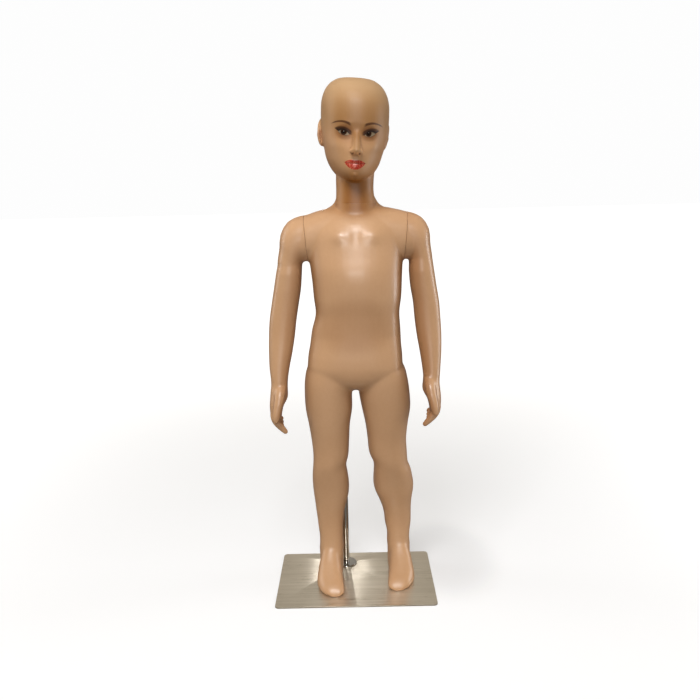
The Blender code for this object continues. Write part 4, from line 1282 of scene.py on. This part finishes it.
def paint_eyes(paint):
    """Eyeball, iris and glint, then lashes: a feathered band with a wing, and a lower line."""
    x, z, across, hair, over = paint.x, paint.z, paint.across, paint.hair, paint.over
    u = ((across - EYE_INNER) / (EYE_OUTER - EYE_INNER))
    hump = (u * (u * -1.0 + 1.0) * 4.0).most(0.0)
    corner_line = u * 5.0 - 4.0
    upper = corner_line + hump ** 0.8 * 5.3
    lower = corner_line - hump ** 0.9 * 4.8
    opening = (upper - z).ramp(-0.3, 0.3) * (z - lower).ramp(-0.3, 0.3)
    opening = opening * across.ramp(EYE_INNER - 0.2, EYE_INNER + 0.4)
    opening = opening * across.ramp(EYE_OUTER + 0.2, EYE_OUTER - 0.4)
    over(opening, rgb(136, 120, 98), 0.3)
    gaze = abs(x + 1.8) - EYE_X
    from_iris = (gaze ** 2.0 + z * z) ** 0.5
    over(opening * from_iris.ramp(IRIS_RADIUS + 0.6, IRIS_RADIUS - 0.6), rgb(48, 26, 12), 0.18)
    over(opening * from_iris.ramp(PUPIL_RADIUS + 0.5, PUPIL_RADIUS - 0.5), rgb(14, 9, 7), 0.15)
    glint = (gaze ** 2.0 + (z - 1.6) ** 2.0) ** 0.5
    over(opening * glint.ramp(0.9, 0.5) * 0.6, rgb(200, 190, 178), 0.15)
    over(opening * (upper - z).ramp(2.8, 0.2) * 0.75, rgb(46, 26, 14), 0.25)

    # lashes
    along = (across - 10.5) / 33.5
    band_top = along * 27.8 - along * along * 21.7 + 2.4
    band_low = upper.most(corner_line + (u - 0.9).most(0.0) * 10.0)
    band = (z - band_low).ramp(-0.7, 0.2) * (band_top - z).ramp(-0.8, 2.6)
    band = band * across.ramp(8.5, 13.5) * across.ramp(46.5, 41.5)
    over(band * hair.ramp(0.1, 0.6, 0.65, 0.98), rgb(58, 29, 8), 0.4)
    lid = (z - band_low).ramp(-0.8, 0.0) * (z - band_low).ramp(3.6, 1.2)
    lid = lid * across.ramp(13.0, 18.0) * across.ramp(43.0, 38.0)
    over(lid * hair.ramp(0.15, 0.55, 0.7, 1.0), rgb(30, 17, 10), 0.4)
    low_line = abs(z - lower).ramp(1.3, 0.3) * across.ramp(16.0, 22.0) * across.ramp(38.0, 34.0)
    over(low_line * 0.7, rgb(84, 48, 26), 0.4)


def paint_nose(paint):
    """Painted light on the nose's underside, as if it caught light from below, then painted shade
    in the nostrils and under the nose.
    """
    z, across, over = paint.z, paint.across, paint.over
    under = (across / 13.0).ramp(1.0, 0.4) * z.ramp(-35.0, -39.0) * z.ramp(-54.0, -51.0)
    over(under * 0.55, rgb(226, 172, 122), 0.5)
    # painted shade in the nostrils
    nostril = (((across - 6.8) / 2.6) ** 2.0 + ((z + 41.0) / 1.8) ** 2.0).ramp(1.1, 0.3)
    over(nostril * 0.7, rgb(84, 42, 14), 0.5)
    # painted shade under the nose
    over((across / 10.0).ramp(1.0, 0.5) * z.ramp(-42.0, -44.0) * z.ramp(-51.0, -46.0) * 0.12,
         rgb(120, 74, 38), 0.5)


def paint_lips(paint):
    z, across, over = paint.z, paint.across, paint.over
    top = ((across - 6.5) ** 2.0) * -0.0242 - 51.8
    bottom = (across / LIP_CORNER) ** 2.2 * 13.4 - 70.8
    lips = (top - z).ramp(-0.4, 0.5) * (z - bottom).ramp(-0.4, 0.8)
    lips = lips * across.ramp(LIP_CORNER + 0.6, LIP_CORNER - 1.0)
    graph = paint.graph
    creases = graph.noise(graph.stretch(paint.place, (1.0, 0.3, 0.3)), 0.6, 3.0)
    red = graph.mix(creases.ramp(0.42, 0.72), rgb(176, 44, 26), rgb(214, 122, 98))
    over(lips, red, 0.3)
    line = across * across * 0.0036 - 58.9
    over(abs(z - line).ramp(0.9, 0.2) * across.ramp(LIP_CORNER + 2.5, LIP_CORNER - 2) * 0.7,
         rgb(96, 30, 18), 0.4)


def paint_ears(paint):
    """Shaded fold inside each ear."""
    y, z, across = paint.y, paint.z, paint.across
    fold = ((y - 12.0) / 9.0) ** 2.0 + ((z + 2.0) / 15.0) ** 2.0
    fold = fold.ramp(1.0, 0.3) * across.ramp(66.5, 69.0)
    paint.over(fold * 0.6, rgb(126, 66, 30), 0.5, y.ramp(30.0, 24.0))


def face_material():
    """The same plastic with the painted brows, eyes and lips, and painted light and shade."""
    graph = Graph("painted_face")
    paint = FacePaint(graph)
    for layer in (tan_and_painted_shade, paint_brows, paint_eyes, paint_nose, paint_lips, paint_ears):
        layer(paint)
    graph.set(Base_Color=paint.tone, Roughness=paint.rough, Normal=paint.normal, IOR=1.5,
              Specular_IOR_Level=0.36, Coat_Weight=0.02, Coat_Roughness=0.35)
    return graph.material


def brushed_steel_material():
    graph = Graph("brushed_steel")
    place = graph.place()
    grain = graph.noise(graph.stretch(place, (6.0, 900.0, 900.0)), 1.0, 4.0, 0.7)
    broad = graph.noise(graph.stretch(place, (3.0, 60.0, 60.0)), 1.0, 3.0)
    smudge = graph.noise(place, 14.0, 3.0)
    tone = graph.mix(grain.ramp(0.3, 0.7), rgb(214, 204, 186), rgb(234, 225, 210))
    tone = graph.mix(broad.ramp(0.35, 0.7) * 0.3, tone, rgb(196, 186, 168))
    rough = grain.ramp(0.3, 0.7, 0.26, 0.34) + smudge.ramp(0.4, 0.7, 0.0, 0.05)
    graph.set(Base_Color=tone, Metallic=1.0, Roughness=rough, Anisotropic=0.85,
              Tangent=graph.join(0.0, 1.0, 0.0), Normal=graph.bump(grain, 0.00003, 0.5))
    return graph.material


def metal_material(name, colour, low, high, scale=60.0):
    graph = Graph(name)
    place = graph.place()
    wipe = graph.noise(place, scale, 3.0)
    fine = graph.noise(graph.stretch(place, (1.0, 1.0, 0.15)), 900.0, 2.0)
    darker = tuple(channel * 0.8 for channel in colour)
    graph.set(Base_Color=graph.mix(wipe.ramp(0.35, 0.65) * 0.5, colour, darker), Metallic=1.0,
              Roughness=wipe.ramp(0.3, 0.7, low, high), Normal=graph.bump(fine, 0.00003, 0.4))
    return graph.material


def plastic_material(name, colour, rough):
    graph = Graph(name)
    place = graph.place()
    cloud = graph.noise(place, 45.0, 2.0)
    grain = graph.noise(place, 1500.0, 2.0)
    darker = tuple(channel * 0.82 for channel in colour)
    graph.set(Base_Color=graph.mix(cloud.ramp(0.3, 0.7), colour, darker),
              Roughness=grain.ramp(0.3, 0.7, rough - 0.05, rough + 0.08),
              Normal=graph.bump(grain, 0.0001, 0.4))
    return graph.material


# ---------------------------------------------------------------- the object

def finish_piece(obj, body, material, nodes):
    obj.data.materials.clear()
    obj.data.materials.append(material)
    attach(obj, body)
    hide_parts(*nodes)
    return obj


def shade(obj, angle=35.0):
    obj.data.shade_smooth()
    obj.data.set_sharp_from_angle(angle=math.radians(angle))
    return obj


ARMS = [
    # body, side, wrist's middle x, how much higher the hand is, extra curl, painted shade on the
    # inner side
    ("right_arm", -1, -158.2, 0.0, 0.0, 0.25), ("left_arm", 1, 173.3, 10.5, 3.0, 0.5),
]
STEEL_PARTS = ("rod_bolt", "rod_thread_insert", "calf_socket")


def build_object():
    skin = skin_material()
    chrome = metal_material("chrome", rgb(176, 174, 170), 0.05, 0.12)
    finish_piece(shade(make_body()), "body", skin, ["torso_and_legs"])
    finish_piece(shade(make_head()), "head", face_material(), ["head"])
    for name, side, wrist, lift, reach, amount in ARMS:
        arm = shade(make_arm(name + "_skin", side, wrist, lift, reach))
        finish_piece(arm, name, arm_material(name + "_plastic", side, amount), [name])
    finish_piece(shade(make_plate(), 50), "base", brushed_steel_material(), ["base_plate"])
    finish_piece(shade(make_rod(), 50), "base", chrome, ["support_rod"])
    finish_piece(shade(make_flange()), "base", chrome, ["rod_flange"])


def finish_fittings():
    """Materials for the small parts that keep their CAD shapes."""
    kept = {
        "zinc_steel": metal_material("zinc_steel", rgb(176, 176, 172), 0.28, 0.42, 200.0),
        "nylon": plastic_material("nylon", rgb(222, 216, 202), 0.45),
        "black_plastic": plastic_material("black_plastic", rgb(34, 34, 36), 0.42),
    }
    for name, obj in frame["nodes"].items():
        if obj.hide_render:
            continue
        finish = "nylon"
        if "_screw_" in name or name in STEEL_PARTS:
            finish = "zinc_steel"
        elif name == "rod_end_cap":
            finish = "black_plastic"
        obj.data.materials.clear()
        obj.data.materials.append(kept[finish])


# ---------------------------------------------------------------- floor, light and camera

CAMERA_PLACE = Vector((0.0096, -1.6223, 0.8642))
CAMERA_PITCH = math.radians(11.41)
CAMERA_YAW = math.radians(-0.39)
CAMERA_ROLL = math.radians(-1.36)
CAMERA_LENS = 39.38


# Name, place, target, width and height, watts, and the kind of ray that it leaves alone
LIGHTS = [
    ("key", (-0.35, -1.35, 2.4), (0, 0, 0.6), (0.9, 0.7), 33.5, "glossy"),
    ("top", (-0.1, -0.4, 2.6), (0, 0, 0.6), (1.2, 1.0), 3.5, None),
    ("fill", (0.0, -1.9, 0.55), (0, 0, 0.35), (1.0, 0.8), 7.2, "glossy"),
    ("left", (-1.9, 0.45, 1.2), (0, 0, 0.6), (0.6, 1.6), 8.0, None),
    ("right", (1.9, 0.38, 0.6), (0, 0, 0.35), (0.6, 1.2), 12.5, None),
    ("sheen", (-0.2, -1.5, 2.3), (0, 0, 0.6), (0.5, 0.4), 7.0, "diffuse"),
    ("gloss", (0.04, -1.8, 1.98), (0, 0, 0.78), (1.1, 0.16), 31.0, "diffuse"),
    ("low_gloss", (0.0, -1.8, 0.92), (0, 0, 0.70), (0.9, 0.14), 9.0, "diffuse"),
    ("streak", (-0.15, 1.6, 1.04), (0, 0, 0), (0.04, 0.04), 0.6, "diffuse"),
    ("back_card", (0.0, 2.4, 1.3), (0, 0, 0), (3.0, 1.6), 2.7, "diffuse"),
]
KEY_COLOUR = (1, 0.985, 0.965)


def area_light(name, place, target, size, power, skipped):
    light = bpy.data.lights.new(name, "AREA")
    light.shape = "RECTANGLE"
    light.size, light.size_y = size
    light.energy = power
    if name == "key":
        light.color = KEY_COLOUR
    obj = bpy.data.objects.new(name, light)
    bpy.context.scene.collection.objects.link(obj)
    obj.location = place
    obj.rotation_euler = (Vector(target) - Vector(place)).to_track_quat("-Z", "Y").to_euler()
    obj.visible_camera = False
    obj.visible_glossy = skipped != "glossy"
    obj.visible_diffuse = skipped != "diffuse"


def make_floor():
    """Pale sweep: it takes the soft shadow, deepened by a painted shadow right of the plate, but
    reads as white to the camera.
    """
    bm = bmesh.new()
    bmesh.ops.create_grid(bm, x_segments=1, y_segments=1, size=40.0)
    floor = object_from_bmesh("floor", bm)
    floor.location.z = -0.0001
    graph = Graph("pale_floor")
    seen = Expr(graph, graph.add("ShaderNodeLightPath").outputs["Is Camera Ray"])
    x, y, _ = graph.split(graph.place())
    from_figure = ((x * x + y * y) ** 0.5).ramp(0.5, 3.0)
    tone = graph.mix(seen, (0.30, 0.29, 0.28), (0.55, 0.562, 0.59))
    # painted shadow on the floor right of the plate
    shade_side = (((x - 0.215) / 0.15) ** 2.0 + ((y - 0.10) / 0.24) ** 2.0).ramp(1.0, 0.0)
    graph.set(Base_Color=tone, Roughness=0.9, Specular_IOR_Level=0.0,
              Emission_Color=(0.97, 0.97, 0.97, 1.0),
              Emission_Strength=seen * (from_figure * 0.5 + 0.5 - shade_side * 0.14))
    floor.data.materials.append(graph.material)


def make_world():
    world = bpy.data.worlds.new("studio")
    bpy.context.scene.world = world
    world.use_nodes = True
    tree = world.node_tree
    background = tree.nodes["Background"]
    path = tree.nodes.new("ShaderNodeLightPath")
    mix = tree.nodes.new("ShaderNodeMix")
    mix.data_type = "RGBA"
    tree.links.new(path.outputs["Is Camera Ray"], mix.inputs["Factor"])
    mix.inputs[6].default_value = (0.31, 0.275, 0.22, 1)
    mix.inputs[7].default_value = (0.985, 0.985, 0.985, 1)
    tree.links.new(mix.outputs[2], background.inputs["Color"])


def make_camera():
    forward = Vector((math.sin(CAMERA_YAW) * math.cos(CAMERA_PITCH),
                      math.cos(CAMERA_YAW) * math.cos(CAMERA_PITCH), -math.sin(CAMERA_PITCH)))
    right = Vector((math.cos(CAMERA_YAW), -math.sin(CAMERA_YAW), 0))
    up = right.cross(forward)
    level = Matrix((right, up, -forward)).transposed()
    data = bpy.data.cameras.new("camera")
    data.lens = CAMERA_LENS
    data.sensor_width = 36.0
    camera = bpy.data.objects.new("camera", data)
    bpy.context.scene.collection.objects.link(camera)
    turn = level @ Matrix.Rotation(CAMERA_ROLL, 3, "Z")
    camera.matrix_world = Matrix.Translation(CAMERA_PLACE) @ turn.to_4x4()
    bpy.context.scene.camera = camera


def make_studio():
    make_floor()
    make_world()
    make_camera()
    for light in LIGHTS:
        area_light(*light)
    bpy.context.scene.view_settings.view_transform = "Standard"


build_object()
finish_fittings()
make_studio()
